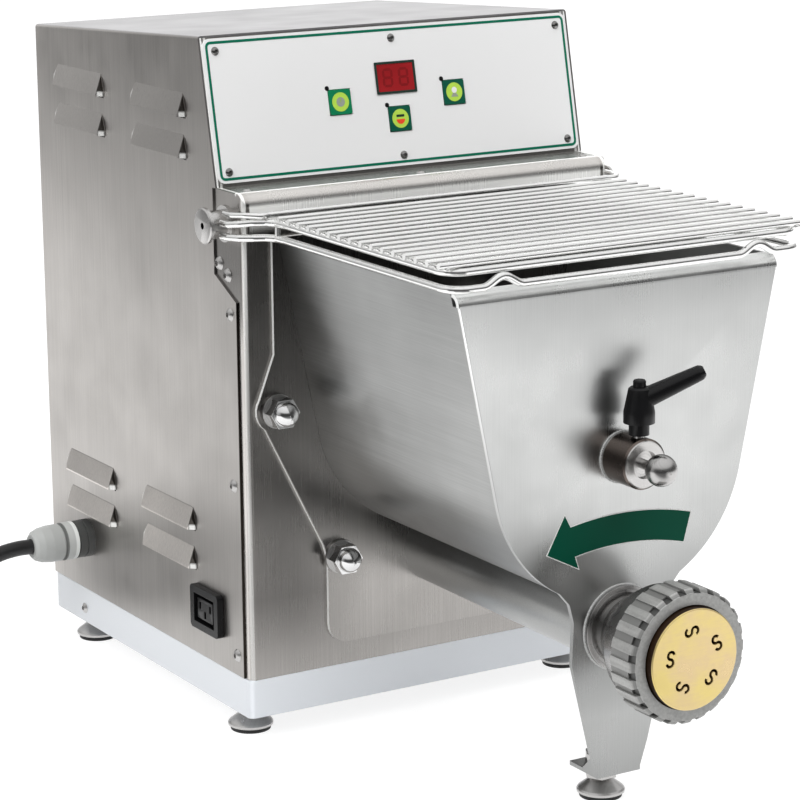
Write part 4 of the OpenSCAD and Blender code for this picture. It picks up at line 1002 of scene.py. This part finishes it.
class Shape(Tree):
    """A geometry tree with named inputs, run once on an object to make a plain mesh."""

    def __init__(self, name, sizes):
        self.sizes = sizes
        super().__init__(bpy.data.node_groups.new(name, "GeometryNodeTree"))
        interface = self.tree.interface
        interface.new_socket("Geometry", in_out="INPUT", socket_type="NodeSocketGeometry")
        interface.new_socket("Geometry", in_out="OUTPUT", socket_type="NodeSocketGeometry")
        self.identifiers = {}
        for label, value in sizes.items():
            kind = "NodeSocketInt" if isinstance(value, int) else "NodeSocketFloat"
            socket = interface.new_socket(label, in_out="INPUT", socket_type=kind)
            self.identifiers[label] = socket.identifier
        self.inputs = self.tree.nodes.new("NodeGroupInput")
        self.given = self.size("Geometry")

    def size(self, label):
        return Sock(self, self.inputs.outputs[label])

    def row_from(self, start):
        """Points set back one by one from the start, at one pitch."""
        back = self.node("ShaderNodeCombineXYZ", None, {"Y": self.size("Pitch") * -1.0})
        values = {"Count": self.size("Count"), "Start Location": start, "Offset": back}
        return self.node("GeometryNodeMeshLine", None, values)

    def drop(self, detail):
        values = {"Radius": self.size("Radius"), "Subdivisions": detail}
        return self.node("GeometryNodeMeshIcoSphere", None, values)

    def varied(self, low, high):
        """A factor that differs from drop to drop."""
        values = {2: low, 3: high, "Seed": self.size("Seed")}
        return self.node("FunctionNodeRandomValue", {"data_type": "FLOAT"}, values, 1)

    def placed(self, points, instance, **values):
        values.update({"Points": points, "Instance": instance})
        return self.node("GeometryNodeInstanceOnPoints", None, values)

    def made_on(self, mesh, geometry, material):
        """Ends the tree and returns the plain mesh that it makes on this mesh."""
        real = self.node("GeometryNodeRealizeInstances", None, {0: geometry})
        dressed = self.node(
            "GeometryNodeSetMaterial", None, {0: real, "Material": finish(material)}
        )
        out = self.tree.nodes.new("NodeGroupOutput")
        self.tree.links.new(dressed.out, out.inputs[0])
        obj = linked(self.tree.name, mesh)
        modifier = obj.modifiers.new(self.tree.name, "NODES")
        modifier.node_group = self.tree
        for label, value in self.sizes.items():
            modifier[self.identifiers[label]] = value
        made = plain_mesh(obj)
        obj.modifiers.remove(modifier)
        bpy.data.objects.remove(obj)
        return made


def swept_wire(name, points, radius, bend=0.004):
    """Geometry tree: a round wire along a line of points, with its corners rounded."""
    shape = Shape(name, {"Radius": radius, "Bend": bend, "Sides": 20})
    path = shape.node("GeometryNodeMeshToCurve", None, {0: shape.given})
    path = shape.node(
        "GeometryNodeFilletCurve",
        {"mode": "POLY"},
        {0: path, "Radius": shape.size("Bend"), "Count": 5, "Limit Radius": True},
    )
    circle = {"Resolution": shape.size("Sides"), "Radius": shape.size("Radius")}
    profile = shape.node("GeometryNodeCurvePrimitiveCircle", None, circle)
    swept = {"Curve": path, "Profile Curve": profile, "Fill Caps": True}
    wire = shape.node("GeometryNodeCurveToMesh", None, swept)
    return shape.made_on(line_mesh(name, points), wire, "wire_steel")


def row_of_wires(name, start, wires, wire_length, radius):
    """Geometry tree: straight wires across the lid, set back to back at one pitch."""
    sizes = {
        "Count": wires.cross_count,
        "Pitch": wires.cross_pitch,
        "Length": wire_length,
        "Radius": radius,
        "Sides": 20,
    }
    shape = Shape(name, sizes)
    values = {
        "Vertices": shape.size("Sides"),
        "Radius": shape.size("Radius"),
        "Depth": shape.size("Length"),
    }
    wire = shape.node("GeometryNodeMeshCylinder", {"fill_type": "NGON"}, values, "Mesh")
    row = shape.row_from(tuple(start))
    placed = shape.placed(row, wire, Rotation=(0, math.pi / 2, 0))
    return shape.made_on(bpy.data.meshes.new(name), placed, "wire_steel")


def weld_row(name, x, start, wires, radius):
    """Geometry tree: a spot weld under each cross wire where it sits on the frame wire."""
    sizes = {
        "Count": wires.cross_count,
        "Pitch": wires.cross_pitch,
        "Radius": wires.weld * 2,
        "Seed": 3,
    }
    shape = Shape(name, sizes)
    swell = shape.varied(0.85, 1.05)
    flat = shape.node("ShaderNodeCombineXYZ", None, {"X": swell, "Y": swell, "Z": swell * 0.55})
    row = shape.row_from((x, start.y, start.z - radius))
    placed = shape.placed(row, shape.drop(3), Scale=flat)
    return shape.made_on(bpy.data.meshes.new(name), placed, "wire_steel")


def bead_ring(name, points, radius):
    """Geometry tree: a weld bead of overlapping drops along a closed line of points."""
    shape = Shape(name, {"Radius": radius, "Step": radius * 0.8, "Seed": 7})
    path = shape.node("GeometryNodeMeshToCurve", None, {0: shape.given})
    values = {"Curve": path, "Length": shape.size("Step")}
    spots = shape.node("GeometryNodeResampleCurve", {"mode": "LENGTH"}, values)
    placed = shape.placed(spots, shape.drop(2), Scale=shape.varied(0.85, 1.12))
    return shape.made_on(line_mesh(name, points, closed=True), placed, "weld_steel")


# ---------------------------------------------------------------- stage

CAMERA_SPOT = (-0.9319, -1.5045, 0.6209)
# Yaw, pitch and roll, in degrees
CAMERA_TURN = (31.20, -13.45, -0.496)
LAMP_AIM = (0.0, 0.0, 0.2)
# Level direction of the view, and where the backdrop is brightest
VIEW_X, VIEW_Y = 0.52, 0.855
BACKDROP = (0.50, 0.82, 0.26)
FLOOR_GLOW, SHADOW_SHARE = 1.35, 0.62
SKY = [(0.0, 0.50), (0.50, 0.42), (0.60, 0.46), (0.72, 0.75), (1.0, 1.0)]


class StageOperator(bpy.types.Operator):
    """Floor, soft light and a camera at the product's three-quarter view"""

    bl_idname = "pasta_maker.stage"
    bl_label = "Stage"

    def execute(self, context):
        stage = settings("stage")
        self.add_camera(context, stage)
        self.add_floor(stage)
        self.add_lamps(stage)
        self.add_world(context)
        context.scene.view_settings.view_transform = "Standard"
        return {"FINISHED"}

    def add_camera(self, context, stage):
        data = bpy.data.cameras.new("camera")
        data.lens = stage.lens
        data.sensor_width = 36.0
        data.clip_start = 0.05
        data.clip_end = 60.0
        camera = linked("camera", data)
        yaw, pitch, roll = (math.radians(a) for a in CAMERA_TURN)
        level = math.cos(pitch)
        ahead = Vector((math.sin(yaw) * level, math.cos(yaw) * level, math.sin(pitch)))
        right = ahead.cross(Vector((0, 0, 1))).normalized()
        up = right.cross(ahead)
        tilted = right * math.cos(roll) + up * math.sin(roll)
        turn = Matrix((tilted, tilted.cross(ahead), -ahead)).transposed().to_4x4()
        camera.matrix_world = Matrix.Translation(CAMERA_SPOT) @ turn
        context.scene.camera = camera

    def add_floor(self, stage):
        half = stage.floor_half
        corners = [(-half, -half, 0), (half, -half, 0), (half, half, 0), (-half, half, 0)]
        mesh = mesh_from("floor", corners, [[0, 1, 2, 3]])
        mesh.materials.append(floor_paint(stage.shadow_shows))
        linked("floor", mesh)

    def add_lamps(self, stage):
        lamps = (
            ("left_lamp", (-2.1, -0.9, 1.5), 1.6, stage.left_light),
            ("top_lamp", (0.1, -0.9, 2.3), 1.8, stage.top_light),
        )
        for name, spot, side, power in lamps:
            data = bpy.data.lights.new(name, "AREA")
            data.shape = "SQUARE"
            data.size = side
            data.energy = power
            lamp = linked(name, data)
            lamp.location = spot
            away = Vector(spot) - Vector(LAMP_AIM)
            lamp.rotation_euler = away.to_track_quat("Z", "Y").to_euler()
            lamp.visible_glossy = False

    def add_world(self, context):
        """Dark low sky on the viewer's side, a bright backdrop behind, soft light overhead.

        It is seen plain white round the object."""
        world = bpy.data.worlds.new("studio")
        world.use_nodes = True
        tree = Finish.of_tree(world.node_tree)
        direction = tree.node("ShaderNodeTexCoord", out="Generated")
        side = tree.node("ShaderNodeSeparateXYZ", None, {0: direction}, "X")
        ahead, rise = tree.output(side, "Y"), tree.output(side, "Z")
        sky = tree.node("ShaderNodeValToRGB", {"stops": SKY}, {0: rise * 0.5 + 0.5})
        near = tree.band(ahead, -0.25, 0.25, 1.0, 0.0) * tree.band(rise, 0.30, 0.50, 1.0, 0.0)
        toward = side * BACKDROP[0] + ahead * BACKDROP[1] + rise * BACKDROP[2]
        backdrop = tree.band(toward, 0.86, 0.97, 0.0, 0.85)
        seen = tree.node("ShaderNodeLightPath", out="Is Camera Ray")
        glow = (sky * (1.0 - near * 0.86) + backdrop).maths("MAXIMUM", seen)
        background = world.node_tree.nodes["Background"]
        world.node_tree.links.new(glow.out, background.inputs["Color"])
        background.inputs["Strength"].default_value = 1.0
        context.scene.world = world


def floor_paint(shadow_shows):
    """Pale floor that keeps a soft shadow; metal sees it end some way off."""
    material = bpy.data.materials.new("floor_paint")
    material.use_nodes = True
    nodes = material.node_tree.nodes
    nodes.clear()
    f = Finish.of_tree(material.node_tree)
    x, y, _z = f.axes()
    far = (x * x + y * y) ** 0.5
    behind = (x * VIEW_X + y * VIEW_Y) / (far + 0.01)
    fade = f.band(far, 1.3, 3.2, 0.0, 0.86) * f.band(behind, 0.86, 0.93, 1.0, 0.0)
    before = f.band(y, -0.30, -0.55, 0.0, 0.85) * f.band(x, -0.05, 0.20, 1.0, 0.0)
    path = f.node("ShaderNodeLightPath", out="Is Camera Ray")
    level = ((1.0 - fade) * (1.0 - before)).maths("MAXIMUM", path)
    seen = path.maths("MAXIMUM", f.output(path, "Is Glossy Ray"))
    seen = seen.maths("MAXIMUM", f.output(path, "Is Transmission Ray"))
    glow = {"Color": f.mix(level, BLACK, WHITE), "Strength": FLOOR_GLOW}
    white = f.node("ShaderNodeEmission", None, glow)
    matt = {"Color": f.mix(level, BLACK, (0.8, 0.8, 0.8))}
    paint = f.node("ShaderNodeBsdfDiffuse", None, matt)
    share = seen * (SHADOW_SHARE if shadow_shows else 1.0)
    mixed = f.node("ShaderNodeMixShader", None, {0: share, 1: paint, 2: white})
    out = nodes.new("ShaderNodeOutputMaterial")
    material.node_tree.links.new(mixed.out, out.inputs["Surface"])
    return material


# ---------------------------------------------------------------- mains lead

LEAD_ROUTE = [
    (-172, 220, 77), (-184, 220, 77), (-198, 221, 74), (-212, 223, 66), (-225, 227, 54),
    (-238, 232, 40), (-251, 238, 26), (-264, 245, 14), (-278, 253, 7), (-293, 263, 5),
]
LEAD_TAIL = [
    (-307, 302, 16), (-309, 317, 19), (-306.5, 331, 23.5), (-300, 343, 28.5),
    (-290.5, 352.2, 33), (-280, 358, 36), (-270.5, 360.5, 37.5), (-262, 360.5, 37.5),
]
COIL_AT = (-262, 318)
COIL_R_LIMITS = (58, 66)


def eased(keys, place):
    """Radius and height at a place, eased between (place, radius, height) keys."""
    for (a, *low), (b, *high) in zip(keys, keys[1:]):
        if place <= b:
            share = (place - a) / (b - a)
            share = share * share * (3 - 2 * share)
            return [p + (q - p) * share for p, q in zip(low, high)]
    return keys[-1][1:]


def coil_points(outer, diameter, rise, middle, entry, end):
    """Two layers of two turns each, from the route's end round to the tail's start."""
    start_angle = math.atan2(entry.y, entry.x)
    turns = 4 + (start_angle - math.atan2(end.y, end.x)) / (2 * math.pi) % 1
    inner = outer - diameter
    low = diameter / 2 + 0.2 * MM
    keys = [
        (0.0, entry.length, low), (0.2, outer, low), (0.8, outer, low), (1.1, inner, low),
        (1.9, inner, low), (2.15, inner, low + rise), (2.4, outer, low + rise),
        (3.0, outer, low + rise), (3.3, inner, low + rise), (3.8, inner, low + rise),
        (turns, end.to_2d().length, end.z),
    ]
    points = []
    steps = int(20 * turns)
    for k in range(1, steps):
        radius, height = eased(keys, turns * k / steps)
        angle = start_angle - 2 * math.pi * turns * k / steps
        spot = Vector((radius * math.cos(angle), radius * math.sin(angle), height))
        points.append(middle + spot)
    return points


def lead_points(total, diameter, rise):
    """The whole lead: the route down to the floor, the coil's turns, and the rising tail."""
    route = [Vector(p) * MM for p in LEAD_ROUTE]
    tail = [Vector(p) * MM for p in LEAD_TAIL]
    middle = Vector((*COIL_AT, 0)) * MM
    low, high = in_metres(COIL_R_LIMITS)
    for _try in range(20):
        outer = (low + high) / 2
        coil = coil_points(outer, diameter, rise, middle, route[-1] - middle, tail[0] - middle)
        points = route + coil + tail
        if sum((b - a).length for a, b in zip(points, points[1:])) < total:
            low = outer
        else:
            high = outer
    return points


class LeadOperator(bpy.types.Operator):
    """Mains lead with its coil"""

    bl_idname = "pasta_maker.lead"
    bl_label = "Mains lead"

    def execute(self, context):
        lead = settings("lead")
        points = lead_points(lead.lead_length, lead.diameter, lead.layer_rise)
        curve = bpy.data.curves.new("mains_cord", "CURVE")
        curve.dimensions = "3D"
        curve.bevel_depth = lead.diameter / 2
        curve.bevel_resolution = 5
        curve.resolution_u = 4
        curve.use_fill_caps = True
        spline = curve.splines.new("BEZIER")
        spline.bezier_points.add(len(points) - 1)
        for spot, point in zip(spline.bezier_points, points):
            spot.co = point
            spot.handle_left_type = "AUTO"
            spot.handle_right_type = "AUTO"
        curve.materials.append(finish("cord_rubber"))
        cord = linked("mains_cord", curve)
        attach(cord, "machine")
        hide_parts("mains_lead", "lead_coil", "lead_tail")
        return {"FINISHED"}


# ---------------------------------------------------------------- lid and welds

# Millimetres, in the units of at()
HINGE_Z = 302.0
FRAME_X = 117.0
UPPER_Z, UPPER_REACH = 307, 206
LOWER_Z, LOWER_REACH = 298, 209
CORNER_X, CORNER_R = 105, 12
BUMP_X, BUMP_HALF, BUMP_RISE = 85, 13, 5.2
# Radius and height of the posts between the frame wires, in metres
POST_PROFILE = [(0, 0), (1.8 * MM, 0), (1.8 * MM, 5.3 * MM), (0, 5.3 * MM)]


def frame_side(level, front, hub_rise):
    """One side of a lid frame wire from its hub to the start of the front run."""
    hub_z = HINGE_Z + hub_rise
    side = [
        (137, 11.5, hub_z), (136.6, 3.5, hub_z), (134, -4.5, (level + hub_z) / 2),
        (128, -11.5, level), (122, -14.5, level), (118, -20.5, level), (FRAME_X, -29.5, level),
    ]
    corner = arc(CORNER_R, 0, -80, 5, (CORNER_X, CORNER_R - front))
    return side + [(x, y, level) for x, y in corner]


def bumped_run(level, front):
    """Half of the lower wire's front run, with its raised bump over each side of the trough."""
    run = []
    for x in range(CORNER_X, 3, -2):
        off = abs(x - BUMP_X)
        rise = 0 if off > BUMP_HALF else BUMP_RISE * (1 + math.cos(math.pi * off / BUMP_HALF)) / 2
        run.append((x, -front, level + rise))
    return run


def whole_wire(half):
    """Half of a wire with its mirror image, in the frame."""
    return [at(*p) for p in half + [(-x, y, z) for x, y, z in reversed(half)]]


class LidWiresOperator(bpy.types.Operator):
    """Round wires of the hinged lid with their spot welds"""

    bl_idname = "pasta_maker.lid_wires"
    bl_label = "Lid wires"

    def execute(self, context):
        wires = settings("wires")
        low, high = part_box("lid_grid")
        radius = (high.z - low.z) / 2
        start = Vector((0, high.y - radius, low.z + radius))
        cross = row_of_wires("cross_wires", start, wires, high.x - low.x, radius)
        self.add_wires("cross_wires", cross, 40, ["lid_grid"])
        upper = whole_wire(frame_side(UPPER_Z, UPPER_REACH, 2.5))
        hinge = whole_wire([
            (136, 10, 310.2), (135.5, 1.5, 310.3), (132, -7.5, 311.1),
            (125, -15.5, 311.1), (120, -13.5, 311.1),
        ])
        lower = frame_side(LOWER_Z, LOWER_REACH, -5) + bumped_run(LOWER_Z, LOWER_REACH)
        frame_r, hinge_r = 2.25 * MM, 1.75 * MM
        meshes = [
            swept_wire("upper_wire", upper, frame_r),
            swept_wire("hinge_wire", hinge, hinge_r),
        ]
        self.add_wires("upper_frame", one_mesh("upper_frame", meshes), 50, ["lid_upper_frame"])
        feet = [at(side * (FRAME_X + 0.9), -21.5, 299.8) for side in (-1, 1)]
        posts = [revolve(POST_PROFILE, 20, Matrix.Translation(foot)) for foot in feet]
        meshes = [
            swept_wire("lower_wire", whole_wire(lower), frame_r, 0.002),
            mesh_from("posts", *joined(posts)),
        ]
        self.add_wires("lower_frame", one_mesh("lower_frame", meshes), 50, ["lid_lower_frame"])
        frame_x = [at(side * FRAME_X, 0, 0).x for side in (-1, 1)]
        meshes = [weld_row("welds", x, start, wires, radius) for x in frame_x]
        self.add_wires("spot_welds", one_mesh("spot_welds", meshes), 60, ())
        return {"FINISHED"}

    def add_wires(self, name, mesh, degrees, nodes):
        add_piece(name, tidy_mesh(mesh, degrees), "wire_steel", "lid", nodes)


class WeldsOperator(bpy.types.Operator):
    """Weld beads where the boss and the head's collar meet the front plate"""

    bl_idname = "pasta_maker.welds"
    bl_label = "Weld beads"

    def execute(self, context):
        self.add_ring("boss_weld", "shaft_boss", 14.6 * MM, KNEADER_Z, 0.8 * MM)
        self.add_ring("collar_weld", "outlet_head", 24.9 * MM, AUGER_Z, 0.9 * MM)
        return {"FINISHED"}

    def add_ring(self, name, node, radius, height, bead):
        circle = disc_outline(radius, 72, (0, height))
        mesh = bead_ring(name, [Vector((x, PLATE_FACE, z)) for x, z in circle], bead)
        add_piece(name, tidy_mesh(mesh, 60, 1e-9), "weld_steel", "machine")


# ---------------------------------------------------------------- edges and finishes

# Width of the broken edge in millimetres
SOFT_EDGES = {
    "cabinet_cover": 0.35, "base_tray": 0.6, "label_plate": 0.25, "front_plate": 0.45,
    "rear_flange": 0.4, "hopper_trough": 0.3, "outlet_head": 0.3, "shaft_boss": 0.4,
    "ring_nut": 0.35, "brass_die": 0.25, "acorn_nuts": 0.4, "stud_washers": 0.25,
    "foot_nuts": 0.4, "foot_pads": 0.4, "clamp_lever": 0.35, "accessory_outlet": 0.35,
    "lid_hubs": 0.25, "start_button": 0.2, "mode_button": 0.2, "stop_button": 0.2,
    "mains_plug": 0.5,
}
# Pressed sheet whose shallow forms keep crisp creases
FLAT = {"cabinet_cover"}
# Nodes whose finish isn't the plain one of their slot
SPECIAL = {
    "shaft_boss": "boss_steel",
    "pin_ball": "ball_steel",
    "control_panel": "panel_steel",
    "rear_panel": "rear_steel",
    "front_wall": "wall_steel",
    "rear_flange": "flange_steel",
    "panel_screws": "dark_zinc",
    "outlet_head": "head_steel",
    "auger_screw": "head_steel",
    "status_lights": "black_plastic",
    "start_button": "key_ink",
    "auger_barrel": "barrel_steel",
    "cable_gland": "gland_two_tone",
}


class SoftEdgesOperator(bpy.types.Operator):
    """Edges broken as the maker's press and lathe leave them"""

    bl_idname = "pasta_maker.soft_edges"
    bl_label = "Soft edges"

    def execute(self, context):
        for node, width in SOFT_EDGES.items():
            softened(node, width * MM, node in FLAT)
        return {"FINISHED"}


class FinishesOperator(bpy.types.Operator):
    """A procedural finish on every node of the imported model"""

    bl_idname = "pasta_maker.finishes"
    bl_label = "Finishes"

    def execute(self, context):
        for node, obj in NODES.items():
            dress(obj, SPECIAL.get(node, SLOT_OF[node]))
        return {"FINISHED"}


# ---------------------------------------------------------------- printed marks


# Millimetres; an outline is its width, height and corner radius
BORDER_INSET, BORDER_LINE, BORDER_OUTER_R, BORDER_INNER_R = 1.7, 1.6, 3.4, 1.8
DISPLAY_OUTER, DISPLAY_INNER = (28.6, 19.6, 0.5), (25.6, 16.8, 0.4)
# A digit's distance from the middle, and its width, height and stroke
DIGIT_X, DIGIT_SIZE = 5.6, (7.2, 11.4, 1.5)
# A key's disc, and the thickness of it and of the marks
KEY_DISC_R, KEY_DISC_T, MARK_T = 5.8, 0.10, 0.06


class PanelPrintOperator(bpy.types.Operator):
    """Printed border, display frame with digits, and key symbols on the control panel"""

    bl_idname = "pasta_maker.panel_print"
    bl_label = "Panel print"

    def execute(self, context):
        self.add_border()
        self.add_display()
        self.add_keys()
        return {"FINISHED"}

    def add_border(self):
        axes = panel_axes()
        low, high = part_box("label_plate")
        heights = [(axes.inverted() @ v.co).y for v in NODES["label_plate"].data.vertices]
        inset, line = BORDER_INSET * MM, BORDER_LINE * MM
        width = high.x - low.x - 2 * inset
        height = max(heights) - min(heights) - 2 * inset
        outer = rounded_outline(width, height, BORDER_OUTER_R * MM)
        inner_r = BORDER_INNER_R * MM
        inner = rounded_outline(width - 2 * line, height - 2 * line, inner_r)
        ring = frame_prism(outer, inner, 0.12 * MM, axes)
        add_solid("label_border", [ring], "border_ink", "machine")

    def add_display(self):
        axes = on_panel("display_window")
        outer = rounded_outline(*in_metres(DISPLAY_OUTER), 2)
        inner = rounded_outline(*in_metres(DISPLAY_INNER), 2)
        ring = frame_prism(outer, inner, 0.25 * MM, axes)
        add_solid("display_frame", [ring], "dark_ink", "machine")
        bars = []
        for side in (-1, 1):
            bars += seven_segments(side * DIGIT_X * MM, *in_metres(DIGIT_SIZE))
        bars = [prism(bar, MARK_T * MM, axes) for bar in bars]
        add_solid("display_digits", bars, "segment_red", "machine")

    def add_keys(self):
        symbols = {
            "start": self.timer_symbol(), "mode": self.halt_symbol(), "stop": self.screw_symbol()
        }
        for name, symbol in symbols.items():
            axes = on_panel(name + "_button")
            disc = prism(disc_outline(KEY_DISC_R * MM, 36), KEY_DISC_T * MM, axes)
            self.add_print(name + "_disc", [disc], "lime_ink", name)
            raised = axes @ Matrix.Translation((0, 0, KEY_DISC_T * MM))
            for part, (outline, material) in symbol.items():
                mark = prism(outline, MARK_T * MM, raised)
                self.add_print(name + "_" + part, [mark], material, name)

    def add_print(self, name, parts, material, key):
        add_solid(name, parts, material, key + "_key")

    def timer_symbol(self):
        """A round dial with one hand."""
        hand = shaped([(-0.3, -0.3), (0.3, -0.3), (0.3, 2.2), (-0.3, 2.2)])
        return {"dial": (disc_outline(2.9 * MM, 36), "grey_ink"), "hand": (hand, "lime_ink")}

    def halt_symbol(self):
        """A dark bar over a red half disc."""
        bar = rounded_outline(5.6 * MM, 1.5 * MM, 0.3 * MM, 3)
        bar = [(x, y + 1.7 * MM) for x, y in bar]
        half = arc(3.0 * MM, 180, 360, 18, (0, -0.4 * MM))
        return {"bar": (bar, "dark_ink"), "half": (half, "red_ink")}

    def screw_symbol(self):
        """A pale disc with a dark foot, for the extruding screw."""
        top = disc_outline(1.9 * MM, 24, (0, 1.2 * MM))
        foot = shaped([(-2.6, -3.0), (2.6, -3.0), (1.1, -0.6), (-1.1, -0.6)])
        return {"dough": (top, "pale_ink"), "foot": (foot, "grey_ink")}


def shaped(points):
    """An outline given in millimetres."""
    return [(x * MM, y * MM) for x, y in points]


def pointed_bar(x, y, reach, half, upright):
    """A bar about a point, with pointed ends."""
    bevel = reach - half
    flat = [
        (-reach, 0), (-bevel, -half), (bevel, -half),
        (reach, 0), (bevel, half), (-bevel, half),
    ]
    return [(x - v, y + u) if upright else (x + u, y + v) for u, v in flat]


def seven_segments(x, width, height, stroke):
    """Seven bars of one digit about x."""
    half, gap = stroke / 2, 0.15 * MM
    level = (height - stroke) / 2
    reach = width / 2 - half - gap
    bars = [pointed_bar(x, k * level, reach, half, False) for k in (-1, 0, 1)]
    for side in (-1, 1):
        for k in (-1, 1):
            place = x + side * (width - stroke) / 2
            bars.append(pointed_bar(place, k * level / 2, level / 2 - gap, half, True))
    return bars


# Radii in millimetres and angles in degrees, about a point over the die
ARROW_AT = (-0.5, 0, -27.5)
ARROW_INNER, ARROW_OUTER = 166.7, 185.3
BARB_INNER, BARB_OUTER, TIP_R = 158.5, 193.7, 175.0
ARROW_TAIL, ARROW_NECK, ARROW_TIP = 74.6, 100.5, 106.7


class ArrowOperator(bpy.types.Operator):
    """Plain curved arrow on the front plate"""

    bl_idname = "pasta_maker.arrow"
    bl_label = "Direction arrow"

    def execute(self, context):
        middle = at(*ARROW_AT)
        outline = arc(ARROW_OUTER * MM, ARROW_TAIL, ARROW_NECK, 24)
        outline += [
            polar(BARB_OUTER * MM, ARROW_NECK + 0.8),
            polar(TIP_R * MM, ARROW_TIP),
            polar(BARB_INNER * MM, ARROW_NECK - 0.4),
        ]
        outline += arc(ARROW_INNER * MM, ARROW_NECK, ARROW_TAIL, 24)
        turn = Matrix(((1, 0, 0), (0, 0, 1), (0, -1, 0))).transposed().to_4x4()
        place = Matrix.Translation((middle.x, PLATE_FACE + 0.02 * MM, middle.z)) @ turn
        self.add_sticker("arrow_edge", outline, 0.20 * MM, place, "pale_ink")
        inner = drawn_in(outline, 0.55 * MM)
        self.add_sticker("direction_arrow", inner, 0.30 * MM, place, "arrow_ink")
        return {"FINISHED"}

    def add_sticker(self, name, outline, thickness, place, material):
        sticker = prism(outline, thickness, place)
        add_solid(name, [sticker], material, "machine")


# ---------------------------------------------------------------- add-on


class PastaMakerPanel(bpy.types.Panel):
    """Pieces of the pasta maker"""

    bl_idname = "VIEW3D_PT_pasta_maker"
    bl_label = "Pasta maker"
    bl_space_type = "VIEW_3D"
    bl_region_type = "UI"
    bl_category = "Pasta maker"

    def draw(self, context):
        for operator in OPERATORS:
            self.layout.operator(operator.bl_idname)


OPERATORS = (
    StageOperator,
    FinishesOperator,
    SoftEdgesOperator,
    LeadOperator,
    LidWiresOperator,
    WeldsOperator,
    PanelPrintOperator,
    ArrowOperator,
)
GROUPS = {
    "finishes": PastaMakerFinishes,
    "wires": PastaMakerWires,
    "lead": PastaMakerLead,
    "stage": PastaMakerStage,
}
CLASSES = (*GROUPS.values(), *OPERATORS, PastaMakerPanel)


def register():
    for cls in CLASSES:
        bpy.utils.register_class(cls)
    for name, group in GROUPS.items():
        setattr(bpy.types.Scene, "pasta_maker_" + name, PointerProperty(type=group))


def unregister():
    for name in GROUPS:
        delattr(bpy.types.Scene, "pasta_maker_" + name)
    for cls in reversed(CLASSES):
        bpy.utils.unregister_class(cls)


def main():
    register()
    for operator in OPERATORS:
        group, name = operator.bl_idname.split(".")
        getattr(getattr(bpy.ops, group), name)()


if __name__ == "__main__":
    main()
